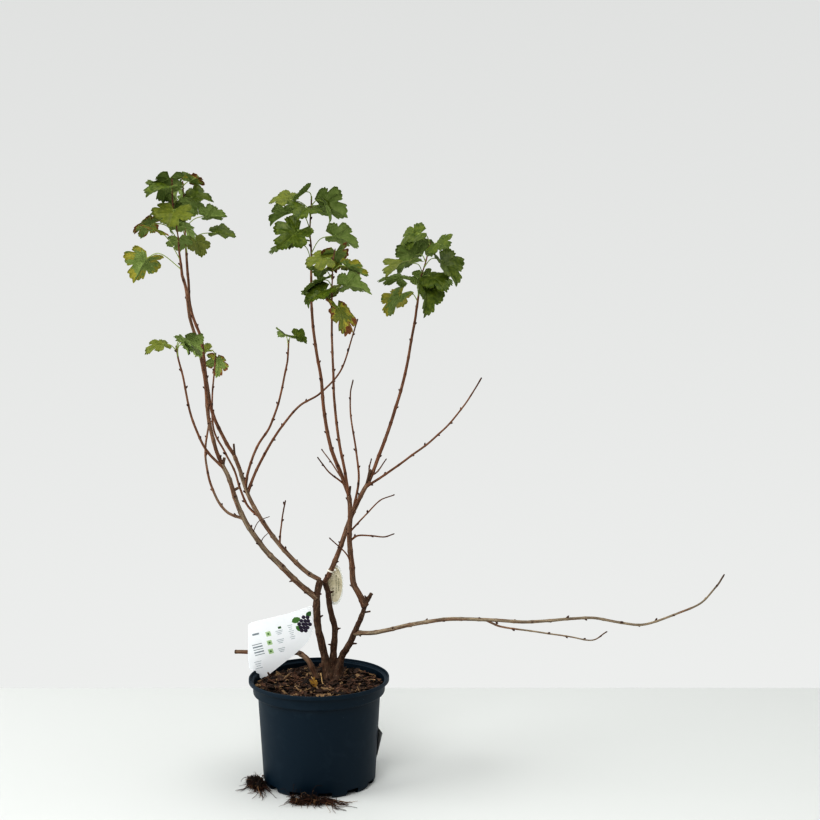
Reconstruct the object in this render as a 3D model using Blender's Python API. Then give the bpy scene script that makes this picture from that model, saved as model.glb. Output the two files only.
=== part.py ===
"""A young jostaberry bush in its five-litre nursery pot, as separate solids.

Units are metres and +Z is up.  The origin is the centre of the pot's flat underside, and the
bush is seen from the -Y side.  Sizes below are in millimetres and are turned to metres by MM.
"""
import math
import random

import bmesh
import bpy
from mathutils import Matrix, Vector
from mathutils.bvhtree import BVHTree

MM = 0.001
GAP = 0.3          # clearance between pieces that touch
UP = Vector((0, 0, 1))

# The pot: a moulded five-litre nursery pot with a stepped rim
POT_HEIGHT = 165.0
POT_RIM_RADIUS = 109.0
POT_BAND_RADIUS = 103.0
POT_WALL_RADIUS = 95.0
POT_FOOT_RADIUS = 87.0
POT_CHAMFER = 4.0
BAND_DRAFT = 1.0
BAND_RISE = 2.0
LIP_RISE = 1.0
RIM_CHAMFER = 1.0
LIP_WALL = 2.5
LIP_SHELF = 2.0
POT_WALL = 1.8
POT_FLOOR = 2.5
LIP_HEIGHT = 7.0
BAND_HEIGHT = 18.5
POT_SIDES = 40
NOTCHES = 12
NOTCH_WIDTH = 21.0
NOTCH_HEIGHT = 9.0
NOTCH_DEPTH = 13.0
FIRST_NOTCH = -51.0

# The potting mix, heaped a little round the stems
MIX_EDGE = 150.0
MIX_TOP = 157.0
MIX_SLACK = 0.4
MIX_SHELF_RISE = 0.6
MIX_FLAT_RADIUS = 48.0

# The trunk: a short root crown that forks into three stems
TRUNK_FOOT = Vector((21.0, 11.0, MIX_TOP + GAP))
RISERS = (
    # fork tip, radius at the foot, radius at the tip
    (Vector((6.0, 8.0, 204.0)), 9.5, 6.2),
    (Vector((21.5, 16.0, 202.0)), 9.5, 5.4),
    (Vector((35.0, 12.0, 194.0)), 9.0, 5.6),
)
FOOT_SPREAD = 0.32
FLARE = 0.55
FLARE_REACH = 9.0
RISER_SIDES = 10

# Limbs in growing order.  Each starts on its parent at a share of the parent's length, or for
# a riser at its tip, then bends smoothly through a few points on its way to the tip.
# name, parent, share, points, root radius, tip radius, sides, cut stubs
LIMBS = (
    ("stem_left", 0, 1.0, ((-1, 2, 241), (-3, -3, 270), (-2, -6, 295), (3, -6, 318)),
     6.0, 5.0, 8, ((0.97, (-3, -1, 7), 3.0),)),
    ("stem_middle", 1, 1.0, ((24, 14, 238), (18, 11, 264), (13, 8, 300), (9, 5, 312)),
     5.2, 4.0, 8, ()),
    ("stem_right", 2, 1.0, ((46, 8, 212), (57, 4, 237), (67, 0, 262), (73, -2, 280), (82, -3, 297)),
     5.4, 3.0, 8, ((0.70, (12, 0, 2), 1.3),)),
    ("bough_centre", "stem_right", 0.80,
     ((61, -6, 299), (54, -7, 314), (52, -9, 342), (49, -11, 382), (50, -12, 421), (48, -15, 452)),
     4.6, 3.3, 8, ((0.98, (2, 3, 17), 1.7),)),
    ("bough_low", "stem_right", 0.38,
     ((87, -4, 235), (141, -14, 250), (203, -24, 261), (263, -33, 262), (324, -40, 261),
      (414, -48, 269), (489, -53, 260), (534, -56, 274), (578, -59, 294), (602, -63, 322),
      (611, -66, 338)),
     3.4, 1.2, 6, ()),
    ("twig_low", "bough_low", 0.35, ((278, -38, 254), (328, -48, 248), (383, -58, 243),
                                     (415, -64, 239), (435, -72, 253)), 1.5, 0.9, 6, ()),
    ("bough_left_outer", "stem_left", 0.75,
     ((-28, -12, 313), (-58, -18, 344), (-84, -25, 375), (-107, -32, 412), (-121, -38, 445),
      (-132, -43, 484), (-141, -46, 504)), 4.5, 3.2, 8,
     ((0.99, (3, 0, 12), 2.2), (0.83, (9, -2, 5), 2.0))),
    ("leader_left_outer", "bough_left_outer", 1.0,
     ((-150, -50, 529), (-158, -56, 571), (-163, -62, 639), (-171, -65, 683), (-182, -68, 723),
      (-187, -72, 767), (-192, -73, 786)), 2.9, 2.1, 8, ()),
    ("shoot_left_outer", "bough_left_outer", 0.65,
     ((-135, -38, 430), (-154, -38, 457), (-166, -34, 501), (-167, -30, 531), (-163, -20, 565),
      (-167, -8, 620)), 2.1, 1.1, 6, ()),
    ("shoot_left_far", "bough_left_outer", 0.97,
     ((-157, -58, 520), (-172, -70, 550), (-182, -82, 587), (-189, -94, 637), (-195, -101, 666)),
     2.0, 1.3, 6, ()),
    ("bough_left_inner", "stem_left", 1.0,
     ((-21, -2, 332), (-55, 5, 365), (-88, 11, 409), (-110, 17, 449), (-123, 20, 489),
      (-131, 21, 509)), 3.5, 2.9, 8, ((0.99, (-1, -1, 20), 1.5),)),
    ("leader_left_inner", "bough_left_inner", 1.0,
     ((-143, 21, 529), (-163, 20, 574), (-172, 21, 625), (-180, 25, 687), (-196, 30, 733),
      (-200, 34, 779), (-202, 36, 806)), 2.7, 1.9, 8, ()),
    ("shoot_back", "bough_left_inner", 0.56,
     ((-111, 20, 430), (-123, 28, 456), (-133, 35, 484), (-147, 40, 510), (-164, 46, 542),
      (-168, 50, 584), (-165, 58, 638), (-164, 61, 651)), 1.8, 1.2, 6, ()),
    ("shoot_inner", "bough_left_inner", 0.78,
     ((-109, 12, 484), (-93, 4, 524), (-72, -8, 557), (-54, -20, 607), (-43, -30, 656),
      (-41, -34, 674)), 2.0, 1.3, 6, ()),
    ("shoot_long", "bough_left_inner", 0.74,
     ((-95, 30, 489), (-61, 50, 548), (-32, 62, 582), (-1, 72, 600), (31, 80, 635),
      (50, 90, 690), (58, 94, 715)), 2.2, 1.0, 6, ()),
    ("bough_right", "stem_middle", 1.0,
     ((25, 3, 345), (39, 4, 382), (50, 6, 413), (64, 10, 443), (78, 16, 469)), 3.9, 3.2, 8,
     ((0.96, (5, 0, 24), 2.2),)),
    ("leader_right", "bough_right", 1.0,
     ((95, 28, 511), (118, 44, 577), (135, 58, 638), (149, 70, 716), (153, 76, 741)),
     2.8, 1.8, 8, ()),
    ("leader_centre", "bough_centre", 1.0,
     ((36, -12, 484), (22, -8, 520), (10, -2, 578), (6, 2, 627), (-4, 6, 688), (-9, 9, 741),
      (-9, 11, 782)), 3.0, 1.8, 8, ()),
    ("leader_front", "bough_centre", 0.96,
     ((43, -20, 485), (33, -30, 544), (28, -40, 600), (26, -52, 675), (26, -61, 729)),
     2.3, 1.5, 6, ()),
    ("shoot_middle", "bough_right", 0.66,
     ((62, 16, 468), (58, 30, 513), (49, 44, 569), (49, 50, 603), (52, 54, 621)),
     1.9, 1.0, 6, ()),
    ("shoot_right", "bough_right", 0.94,
     ((95, 10, 475), (141, -4, 509), (190, -22, 551), (223, -36, 592), (247, -48, 632)),
     1.9, 1.0, 6, ()),
    ("twig_centre_front", "leader_centre", 0.05,
     ((20, -24, 487), (11, -28, 498), (3, -34, 511)), 1.3, 0.9, 6, ()),
    ("twig_centre_back", "leader_centre", 0.07, ((20, 4, 500), (6, 16, 517)), 1.1, 0.8, 6, ()),
    ("twig_side_upper", "bough_centre", 0.68,
     ((71, -18, 419), (96, -28, 446), (116, -36, 455)), 1.3, 0.8, 6, ()),
    ("twig_side_lower", "bough_centre", 0.60,
     ((61, -4, 387), (80, 2, 386), (101, 12, 382), (115, 20, 385)), 1.4, 0.9, 6, ()),
    ("twig_crossing", "bough_centre", 0.39, ((42, -17, 363), (20, -24, 386)), 1.2, 0.8, 6, ()),
    ("twig_upright", "bough_left_inner", 0.35, ((-56, 0, 411), (-50, -5, 440)), 1.3, 1.0, 6, ()),
    ("twig_right_back", "leader_right", 0.03, ((78, 26, 485), (81, 30, 500)), 1.2, 0.9, 6, ()),
    ("twig_right_front", "leader_right", 0.03, ((92, 8, 486), (104, 0, 504)), 1.2, 0.8, 6, ()),
)
COLLAR = 0.22            # swelling where a side limb leaves its parent
COLLAR_REACH = 6.0
RING_SPACING = 24.0

# A thick branch that was cut off low down, and rises from the mix beside the trunk
CUT_BRANCH = ((-3, 9, MIX_TOP + GAP), (-16, 13, 183), (-26, 19, 192), (-37, 24, 196),
              (-79, 27, 196), (-133, 32, 195))
CUT_BRANCH_RADII = (4.6, 2.9)

# The white plant label: its corners seen from the front, and how its sheet lies in depth
LABEL_CORNERS = ((-95.6, 153), (-96.2, 160.6), (-101.2, 161.6), (-101.6, 165.8), (-112, 166.6),
                 (-113.7, 192.6), (-111.2, 245), (-46, 263), (-9, 277), (-9.4, 238),
                 (-18, 216.5), (-37, 196.5), (-90, 151.5))
LABEL_THICKNESS = 0.6
LABEL_TURN = -0.083
LABEL_LEAN = -0.179
LABEL_ANCHOR = (-8, 0, 283)

# The oval hang tag behind the stems, and its thread round the right bough
TAG_TOP = Vector((25, 11, 339))
TAG_FOOT = Vector((24, 21, 273))
TAG_HALF_WIDTH = 13.0
TAG_THICKNESS = 0.7
TAG_SIDES = 20
TAG_HOLE_SHARE = 0.13
THREAD_RADIUS = 0.5
THREAD_SHARE = 0.12
THREAD_SLACK = 0.15
THREAD_STEPS = 12
THREAD_SIDES = 5

# The blank sticker on the pot's right side, with one corner lifting off
STICKER_ANGLES = (0.0, 36.0)
STICKER_HEIGHTS = (36.0, 82.0)
STICKER_LIFT = 7.0
STICKER_LIFT_HEIGHT = 74.0
STICKER_LIFT_ANGLE = 16.0
STICKER_THICKNESS = 0.5
STICKER_CLEARANCE = 0.4
STICKER_CURL = 1.5
STICKER_GRID = (7, 6)

# Tufts of root that grow out of the drain notches, just clear of the ground
# name, direction, notches, clump centre radius and height, clump half sizes, strands, seed
ROOT_TUFTS = (
    ("root_tuft_left", -159.0, (-171.0, -141.0), 104.0, 11.0, (14.0, 20.0, 9.5), 8, 5),
    ("root_tuft_front", -94.0, (-111.0, -81.0), 105.0, 7.5, (14.5, 36.0, 6.0), 16, 11),
)
ROOT_RUFFLE = 0.12
NECK_HEIGHT = 5.5
NECK_LENGTH = 10.0
NECK_RADII = (2.8, 3.4)
NECK_CLEARANCE = 0.2
STRAND_FAN = 62.0
STRAND_STRAY = 3.0
STRAND_REACH = (14.0, 34.0)
STRAND_RADII = (0.8, 0.4)
STRAND_FLOOR = 1.6

# A leaf has five lobes.  Each is an angle from the midrib, a reach in leaf lengths and a
# half width in degrees, and the outline dips between them.
LOBES = ((0, 1.0, 20), (52, 0.86, 17), (104, 0.62, 20))
TIP_SHOULDER = 0.88
SIDE_SHOULDERS = (0.92, 0.90)
SINUS = 0.88
BASE_LOBE = (148, 0.38)
LEAF_NOTCH = -0.02
LEAF_HEART = 0.2
LEAF_THICKNESS = 0.8
PETIOLE_RADII = (1.0, 0.8)
PETIOLE_SINK = 4.0
GOLDEN_TURN = 137.5

# Leafy shoot ends.  Each grows on from a limb or from a lower leafy end, through its points,
# and deals its leaves out by a seeded rule: leaf count, leaf length, petiole length, the
# direction the leaves face in degrees and how far they spread to each side of it, and a seed.
LEAFY_ENDS = (
    ("leaves_left_outer_low", "leader_left_outer", ((-195, -76, 822), (-196, -77, 840)),
     4, 38, 60, 180, 110, 4172),
    ("leaves_left_outer_top", "leaves_left_outer_low", ((-202, -81, 884), (-203, -83, 924)),
     6, 44, 26, 180, 140, 741),
    ("leaves_left_inner_low", "leader_left_inner", ((-205, 40, 845), (-205, 42, 865)),
     4, 36, 54, 0, 110, 1211),
    ("leaves_left_inner_top", "leaves_left_inner_low", ((-206, 44, 897), (-208, 45, 928)),
     5, 38, 24, 0, 180, 3135),
    ("leaves_centre_low", "leader_centre", ((-9, 13, 824), (-11, 14, 851)),
     3, 48, 46, 180, 180, 3928),
    ("leaves_centre_top", "leaves_centre_low", ((-9, 15, 885), (-8, 16, 903)),
     6, 40, 40, 180, 180, 134),
    ("leaves_front_low", "leader_front", ((27, -68, 772),), 5, 44, 26, 0, 180, 4160),
    ("leaves_front_top", "leaves_front_low", ((29, -74, 805), (32, -76, 822)),
     4, 42, 22, 0, 180, 628),
    ("leaves_right_low", "leader_right", ((159, 82, 785),), 6, 42, 36, 0, 180, 3456),
    ("leaves_right_top", "leaves_right_low", ((167, 87, 810), (173, 90, 837)),
     6, 44, 42, 0, 180, 2105),
    ("leaves_left_far", "shoot_left_far", ((-197, -104, 682),), 4, 32, 32, 180, 180, 1401),
    ("leaves_inner", "shoot_inner", ((-40, -35, 688),), 2, 26, 20, 180, 180, 2106),
    ("leaves_back", "shoot_back", ((-163, 62, 663),), 2, 27, 18, 180, 180, 2451),
)
SHOOT_TIP_RADIUS = 1.0
TIP_LEAF = 0.8           # size of the top leaf against the lowest
TIP_PETIOLE = 0.6


def clear_scene():
    for item in list(bpy.data.objects):
        bpy.data.objects.remove(item, do_unlink=True)


def hex_to_linear(code):
    values = [int(code[i:i + 2], 16) / 255 for i in (0, 2, 4)]
    return [v / 12.92 if v <= 0.04045 else ((v + 0.055) / 1.055) ** 2.4 for v in values] + [1.0]


def material(name, code, roughness):
    made = bpy.data.materials.get(name)
    if made:
        return made
    made = bpy.data.materials.new(name)
    made.use_nodes = True
    shader = made.node_tree.nodes["Principled BSDF"]
    shader.inputs["Base Color"].default_value = hex_to_linear(code)
    shader.inputs["Roughness"].default_value = roughness
    shader.inputs["Metallic"].default_value = 0.0
    made.diffuse_color = hex_to_linear(code)
    return made


def place_object(name, mesh, finish=None):
    made = bpy.data.objects.new(name, mesh)
    bpy.context.collection.objects.link(made)
    if finish:
        mesh.materials.clear()
        mesh.materials.append(finish)
    return made


def mesh_from(bm, name):
    bmesh.ops.recalc_face_normals(bm, faces=bm.faces)
    mesh = bpy.data.meshes.new(name)
    bm.to_mesh(mesh)
    bm.free()
    return mesh


def smooth_path(points, spacing):
    """Points along a smooth curve through the given points, ends kept."""
    tangents = []
    for i in range(len(points)):
        before = points[max(i - 1, 0)]
        after = points[min(i + 1, len(points) - 1)]
        tangents.append((after - before).normalized())
    path = [points[0].copy()]
    for i in range(len(points) - 1):
        start, end = points[i], points[i + 1]
        length = (end - start).length
        steps = max(1, round(length / spacing))
        pull = length / 3
        for k in range(1, steps + 1):
            t = k / steps
            a = start.lerp(start + tangents[i] * pull, t)
            b = (start + tangents[i] * pull).lerp(end - tangents[i + 1] * pull, t)
            c = (end - tangents[i + 1] * pull).lerp(end, t)
            path.append(a.lerp(b, t).lerp(b.lerp(c, t), t))
    return path


def length_of(path):
    return sum((b - a).length for a, b in zip(path, path[1:]))


def point_on(path, share):
    """The point and the direction at a share of a path's length."""
    left = length_of(path) * share
    for a, b in zip(path, path[1:]):
        step = (b - a).length
        if left <= step + 1e-9:
            return a.lerp(b, left / step), (b - a).normalized()
        left -= step
    return path[-1].copy(), (path[-1] - path[-2]).normalized()


def tube(path, radii, sides):
    """A closed tube in millimetres, with flat ends, as a mesh in metres."""
    bm = bmesh.new()
    rings = []
    frame = UP.orthogonal()
    for i, centre in enumerate(path):
        before = path[max(i - 1, 0)]
        after = path[min(i + 1, len(path) - 1)]
        along = (after - before).normalized()
        frame = (frame - along * frame.dot(along)).normalized()
        across = along.cross(frame)
        ring = []
        for k in range(sides):
            turn = 2 * math.pi * k / sides
            rim = frame * math.cos(turn) + across * math.sin(turn)
            ring.append(bm.verts.new((centre + rim * radii[i]) * MM))
        rings.append(ring)
    for low, high in zip(rings, rings[1:]):
        for k in range(sides):
            nxt = (k + 1) % sides
            bm.faces.new((low[k], low[nxt], high[nxt], high[k]))
    bm.faces.new(list(reversed(rings[0])))
    bm.faces.new(rings[-1])
    return mesh_from(bm, "tube")


def evaluated_copy(item):
    graph = bpy.context.evaluated_depsgraph_get()
    return bpy.data.meshes.new_from_object(item.evaluated_get(graph))


def drop_scraps(mesh):
    """Keep only the largest closed piece of a mesh."""
    bm = bmesh.new()
    bm.from_mesh(mesh)
    unseen = set(bm.verts)
    pieces = []
    while unseen:
        heap = [unseen.pop()]
        piece = []
        while heap:
            vert = heap.pop()
            piece.append(vert)
            for edge in vert.link_edges:
                other = edge.other_vert(vert)
                if other in unseen:
                    unseen.discard(other)
                    heap.append(other)
        pieces.append(piece)
    pieces.sort(key=len)
    for piece in pieces[:-1]:
        bmesh.ops.delete(bm, geom=piece, context="VERTS")
    bm.to_mesh(mesh)
    bm.free()


def combine(item, others, operation, solver="EXACT"):
    """One Boolean of an object with a list of objects, applied, and the others removed."""
    group = bpy.data.collections.new("operands")
    bpy.context.scene.collection.children.link(group)
    for other in others:
        group.objects.link(other)
    modifier = item.modifiers.new("combine", "BOOLEAN")
    modifier.operation = operation
    modifier.solver = solver
    modifier.operand_type = "COLLECTION"
    modifier.collection = group
    bpy.context.view_layer.update()
    mesh = evaluated_copy(item)
    item.modifiers.clear()
    finish = item.data.materials[0] if item.data.materials else None
    item.data = mesh
    if finish:
        mesh.materials.clear()
        mesh.materials.append(finish)
    for other in list(group.objects):
        bpy.data.objects.remove(other, do_unlink=True)
    bpy.data.collections.remove(group)
    drop_scraps(mesh)
    return item


def turned(name, profile, sides):
    """A closed solid turned about Z from a closed profile of radius and height."""
    bm = bmesh.new()
    columns = []
    for radius, height in profile:
        ring = []
        if radius > 0:
            for k in range(sides):
                turn = 2 * math.pi * k / sides
                spot = Vector((radius * math.cos(turn), radius * math.sin(turn), height))
                ring.append(bm.verts.new(spot * MM))
        else:
            ring.append(bm.verts.new(Vector((0, 0, height)) * MM))
        columns.append(ring)
    for low, high in zip(columns, columns[1:]):
        for k in range(sides):
            nxt = (k + 1) % sides
            corners = [low[k % len(low)], low[nxt % len(low)],
                       high[nxt % len(high)], high[k % len(high)]]
            unique = list(dict.fromkeys(corners))
            bm.faces.new(unique)
    return mesh_from(bm, name)


def box(size, place, turn):
    bm = bmesh.new()
    bmesh.ops.create_cube(bm, size=1.0)
    bmesh.ops.scale(bm, vec=Vector(size) * MM, verts=bm.verts)
    shift = Matrix.Rotation(turn, 4, "Z") @ Matrix.Translation(Vector(place) * MM)
    bmesh.ops.transform(bm, matrix=shift, verts=bm.verts)
    return place_object("cutter", mesh_from(bm, "cutter"))


def wall_radius(height):
    """Outer radius of the tapering wall at a height."""
    top = POT_HEIGHT - LIP_HEIGHT - BAND_HEIGHT
    share = min(max((height - POT_CHAMFER) / (top - POT_CHAMFER), 0.0), 1.0)
    return POT_FOOT_RADIUS + (POT_WALL_RADIUS - POT_FOOT_RADIUS) * share


def inner_radius(height):
    """Inner radius of the pot at a height, over the stepped rim too."""
    step = POT_HEIGHT - LIP_HEIGHT - BAND_HEIGHT
    if height < step + 2 * POT_WALL:
        return wall_radius(height) - POT_WALL
    return POT_BAND_RADIUS - POT_WALL


def make_pot():
    lip = POT_HEIGHT - LIP_HEIGHT
    step = lip - BAND_HEIGHT
    band_inside = POT_BAND_RADIUS - POT_WALL
    lip_inside = POT_RIM_RADIUS - LIP_WALL
    profile = [
        (0, 0),
        (POT_FOOT_RADIUS - POT_CHAMFER, 0),
        (POT_FOOT_RADIUS, POT_CHAMFER),
        (POT_WALL_RADIUS, step),
        (POT_BAND_RADIUS - BAND_DRAFT, step + BAND_RISE),
        (POT_BAND_RADIUS, lip),
        (POT_RIM_RADIUS, lip + LIP_RISE),
        (POT_RIM_RADIUS, POT_HEIGHT - RIM_CHAMFER),
        (POT_RIM_RADIUS - RIM_CHAMFER, POT_HEIGHT),
        (lip_inside, POT_HEIGHT),
        (lip_inside, lip + LIP_RISE + LIP_SHELF),
        (band_inside, lip + LIP_SHELF),
        (band_inside, step + 2 * POT_WALL),
        (inner_radius(step + POT_WALL), step + POT_WALL),
        (inner_radius(POT_FLOOR), POT_FLOOR),
        (0, POT_FLOOR),
    ]
    pot = place_object("pot", turned("pot", profile, POT_SIDES),
                       material("moulded_polypropylene", "2b333b", 0.42))
    cutters = []
    for k in range(NOTCHES):
        turn = math.radians(FIRST_NOTCH + 360 / NOTCHES * k)
        size = (2 * NOTCH_DEPTH, NOTCH_WIDTH, 2 * NOTCH_HEIGHT)
        cutters.append(box(size, (POT_FOOT_RADIUS, 0, 0), turn))
    return combine(pot, cutters, "DIFFERENCE")


def make_mix():
    step = POT_HEIGHT - LIP_HEIGHT - BAND_HEIGHT
    bottom = POT_FLOOR + GAP
    shelf = step + 2 * POT_WALL + GAP
    profile = [
        (0, bottom),
        (inner_radius(bottom) - GAP, bottom),
        (inner_radius(step + POT_WALL) - GAP, step + POT_WALL),
        (inner_radius(shelf) - GAP - MIX_SLACK, shelf + MIX_SHELF_RISE),
        (inner_radius(shelf) - GAP - MIX_SLACK, MIX_EDGE),
        (MIX_FLAT_RADIUS, MIX_TOP),
        (0, MIX_TOP),
    ]
    return place_object("potting_mix", turned("potting_mix", profile, POT_SIDES),
                        material("composted_bark", "3a2a20", 0.95))


def flared(radius, tip_radius, path):
    """Radii along a riser that swell at its foot."""
    radii = []
    for centre in path:
        share = (centre - path[0]).length / (path[-1] - path[0]).length
        flare = 1 + FLARE * math.exp(-(centre.z - path[0].z) / FLARE_REACH)
        radii.append((radius + (tip_radius - radius) * share) * flare / (1 + FLARE * 0.25))
    return radii


def riser_path(tip):
    foot = TRUNK_FOOT.copy()
    foot.x += (tip.x - foot.x) * FOOT_SPREAD
    foot.y += (tip.y - foot.y) * FOOT_SPREAD
    return [foot.lerp(tip, share) for share in (0, 0.08, 0.2, 0.4, 0.7, 1)]


def make_risers(grow=0.0):
    """The trunk's three flared risers as one solid, its surface moved out by grow."""
    parts = []
    for tip, radius, tip_radius in RISERS:
        path = riser_path(tip)
        radii = [r + grow for r in flared(radius, tip_radius, path)]
        path[-1] += (path[-1] - path[-2]).normalized() * grow
        mesh = tube(path, radii, RISER_SIDES)
        for vert in mesh.vertices[:RISER_SIDES]:
            vert.co.z = path[0].z * MM
        parts.append(place_object("trunk", mesh))
    return combine(parts[0], parts[1:], "UNION")


class Limb:
    """One tapering limb: its path, its radii and its cut stubs."""

    def __init__(self, path, root, tip, sides, stubs, collar):
        self.path = path
        self.sides = sides
        self.stubs = stubs
        self.radii = []
        run = 0.0
        total = length_of(path)
        for i, centre in enumerate(path):
            if i:
                run += (centre - path[i - 1]).length
            swell = 1 + collar * math.exp(-run / COLLAR_REACH)
            self.radii.append((root + (tip - root) * run / total) * swell)

    def solid(self, name, grow=0.0):
        """The limb as an object, its surface moved out by grow."""
        path = [p.copy() for p in self.path]
        if grow:
            path[0] -= (path[1] - path[0]).normalized() * grow
            path[-1] += (path[-1] - path[-2]).normalized() * grow
        made = place_object(name, tube(path, [r + grow for r in self.radii], self.sides))
        extra = []
        for share, offset, radius in self.stubs:
            start, _ = point_on(self.path, share)
            end = start + Vector(offset)
            end += (end - start).normalized() * grow
            pair = [radius * 1.15 + grow, radius + grow]
            extra.append(place_object("stub", tube([start, end], pair, 6)))
        if extra:
            combine(made, extra, "UNION")
        return made


def tree_of(item):
    bm = bmesh.new()
    bm.from_mesh(item.data)
    tree = BVHTree.FromBMesh(bm)
    bm.free()
    return tree


def crosses(item, other):
    return bool(tree_of(item).overlap(tree_of(other)))


def riser_limb(index):
    tip, radius, tip_radius = RISERS[index]
    path = riser_path(tip)
    return Limb(path, radius, tip_radius, RISER_SIDES, (), 0.0)


def make_limbs(trunk, bark):
    """All stems, boughs, shoots and twigs, each cut clear of those before it."""
    limbs = {}
    made = {"trunk": trunk}
    for name, parent, share, points, root, tip, sides, stubs in LIMBS:
        source = riser_limb(parent) if isinstance(parent, int) else limbs[parent]
        start, along = point_on(source.path, share)
        collar = COLLAR
        if share == 1.0:
            start = start + along * GAP
            collar = 0.0
        path = smooth_path([start] + [Vector(p) for p in points], RING_SPACING)
        limb = Limb(path, root, tip, sides, stubs, collar)
        item = limb.solid(name)
        item.data.materials.append(bark)
        cutters = []
        for other_name in made:
            if other_name == "trunk":
                grown = make_risers(GAP)
            else:
                grown = limbs[other_name].solid("cutter", GAP)
            if crosses(item, grown):
                cutters.append(grown)
            else:
                bpy.data.objects.remove(grown, do_unlink=True)
        if cutters:
            combine(item, cutters, "DIFFERENCE")
        limbs[name] = limb
        made[name] = item
    return limbs, made


def make_cut_branch(limbs, made, bark):
    path = smooth_path([Vector(p) for p in CUT_BRANCH], RING_SPACING)
    limb = Limb(path, CUT_BRANCH_RADII[0], CUT_BRANCH_RADII[1], 8, (), 0.1)
    item = limb.solid("low_cut_branch")
    for vert in item.data.vertices[:8]:
        vert.co.z = path[0].z * MM
    item.data.materials.append(bark)
    grown = make_risers(GAP)
    if crosses(item, grown):
        combine(item, [grown], "DIFFERENCE")
    else:
        bpy.data.objects.remove(grown, do_unlink=True)
    limbs["low_cut_branch"] = limb
    made["low_cut_branch"] = item


def heading(turn, rise):
    turn, rise = math.radians(turn), math.radians(rise)
    return Vector((math.cos(turn) * math.cos(rise), math.sin(turn) * math.cos(rise),
                   math.sin(rise)))


def leaf_outline():
    """The lobed outline of a leaf one unit long: along the midrib, and across."""
    half = [(0, LOBES[0][1]), (LOBES[0][2], LOBES[0][1] * TIP_SHOULDER)]
    for inner, outer in zip(LOBES, LOBES[1:]):
        dip = (inner[0] + inner[2] + outer[0] - outer[2]) / 2
        half.append((dip, min(inner[1], outer[1]) * SINUS))
        half.append((outer[0] - outer[2], outer[1] * SIDE_SHOULDERS[0]))
        half.append((outer[0], outer[1]))
        half.append((outer[0] + outer[2], outer[1] * SIDE_SHOULDERS[1]))
    half[-1] = BASE_LOBE
    right = []
    for turn, reach in half:
        right.append((reach * math.cos(math.radians(turn)), reach * math.sin(math.radians(turn))))
    left = [(x, -y) for x, y in reversed(right[1:])]
    return right + [(LEAF_NOTCH, 0.0)] + left


class Leaf:
    """One leaf of the rule: where its stalk starts and bends, and how its blade lies."""

    def __init__(self, root, bend, junction, midrib, across, normal, size, fold, curl):
        self.root = root
        self.bend = bend
        self.junction = junction
        self.midrib = midrib
        self.across = across
        self.normal = normal
        self.size = size
        self.fold = fold
        self.curl = curl

    def spot(self, along, side):
        lift = self.fold * abs(side) - self.curl * along * along
        offset = self.midrib * along + self.across * side + self.normal * lift
        return self.junction + offset * self.size


def deal_leaves(path, count, size, stalk, facing, spread, seed):
    """The leaves of one leafy end, from a golden-angle spiral with seeded chance."""
    chance = random.Random(seed)
    first = chance.uniform(0, 360)
    hand = chance.choice((-1, 1))
    leaves = []
    for i in range(count):
        share = (i + 0.6) / count
        root, _ = point_on(path, min(1.0, share))
        turn = (first + hand * GOLDEN_TURN * i + chance.uniform(-30, 30)) % 360 - 180
        out = facing + turn * spread / 180
        reach = stalk * (1 + (TIP_PETIOLE - 1) * share) * chance.uniform(0.65, 1.35)
        rise = chance.uniform(5, 60)
        blade = size * (1 + (TIP_LEAF - 1) * share) * chance.uniform(0.8, 1.2)
        points_to = out + chance.uniform(-35, 35)
        pitch = chance.uniform(-60, 15)
        roll = chance.uniform(-40, 40)
        fold = chance.uniform(-0.1, 0.5)
        curl = chance.uniform(0.05, 0.5)
        bend = root + heading(out, rise + 20) * reach * 0.55
        junction = bend + heading(points_to, (rise + pitch) / 2) * reach * 0.45
        midrib = heading(points_to, pitch)
        across = midrib.cross(UP).normalized()
        normal = across.cross(midrib)
        spin = math.radians(roll)
        rolled = across * math.cos(spin) + normal * math.sin(spin)
        normal = normal * math.cos(spin) - across * math.sin(spin)
        leaves.append(Leaf(root, bend, junction, midrib, rolled, normal, blade, fold, curl))
    return leaves


def leaf_solid(leaf):
    """The blade as a thin closed plate, a fan from its heart on both sides."""
    bm = bmesh.new()
    outline = leaf_outline()
    half = leaf.normal * LEAF_THICKNESS / 2
    rims = []
    hearts = []
    for side in (1, -1):
        rims.append([bm.verts.new((leaf.spot(u, v) + half * side) * MM) for u, v in outline])
        hearts.append(bm.verts.new((leaf.spot(LEAF_HEART, 0) + half * side) * MM))
    for k in range(len(outline)):
        nxt = (k + 1) % len(outline)
        bm.faces.new((hearts[0], rims[0][nxt], rims[0][k]))
        bm.faces.new((hearts[1], rims[1][k], rims[1][nxt]))
        bm.faces.new((rims[0][k], rims[0][nxt], rims[1][nxt], rims[1][k]))
    return place_object("blade", mesh_from(bm, "blade"))


def stalk_solid(leaf):
    """The three-sided leaf stalk, sunk into the shoot and into the blade."""
    end = leaf.junction + leaf.midrib * PETIOLE_SINK
    path = [leaf.root, leaf.bend, leaf.junction, end]
    root, tip = PETIOLE_RADII
    return place_object("stalk", tube(path, [root, (root + tip) / 2, tip, tip * 0.6], 3))


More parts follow.
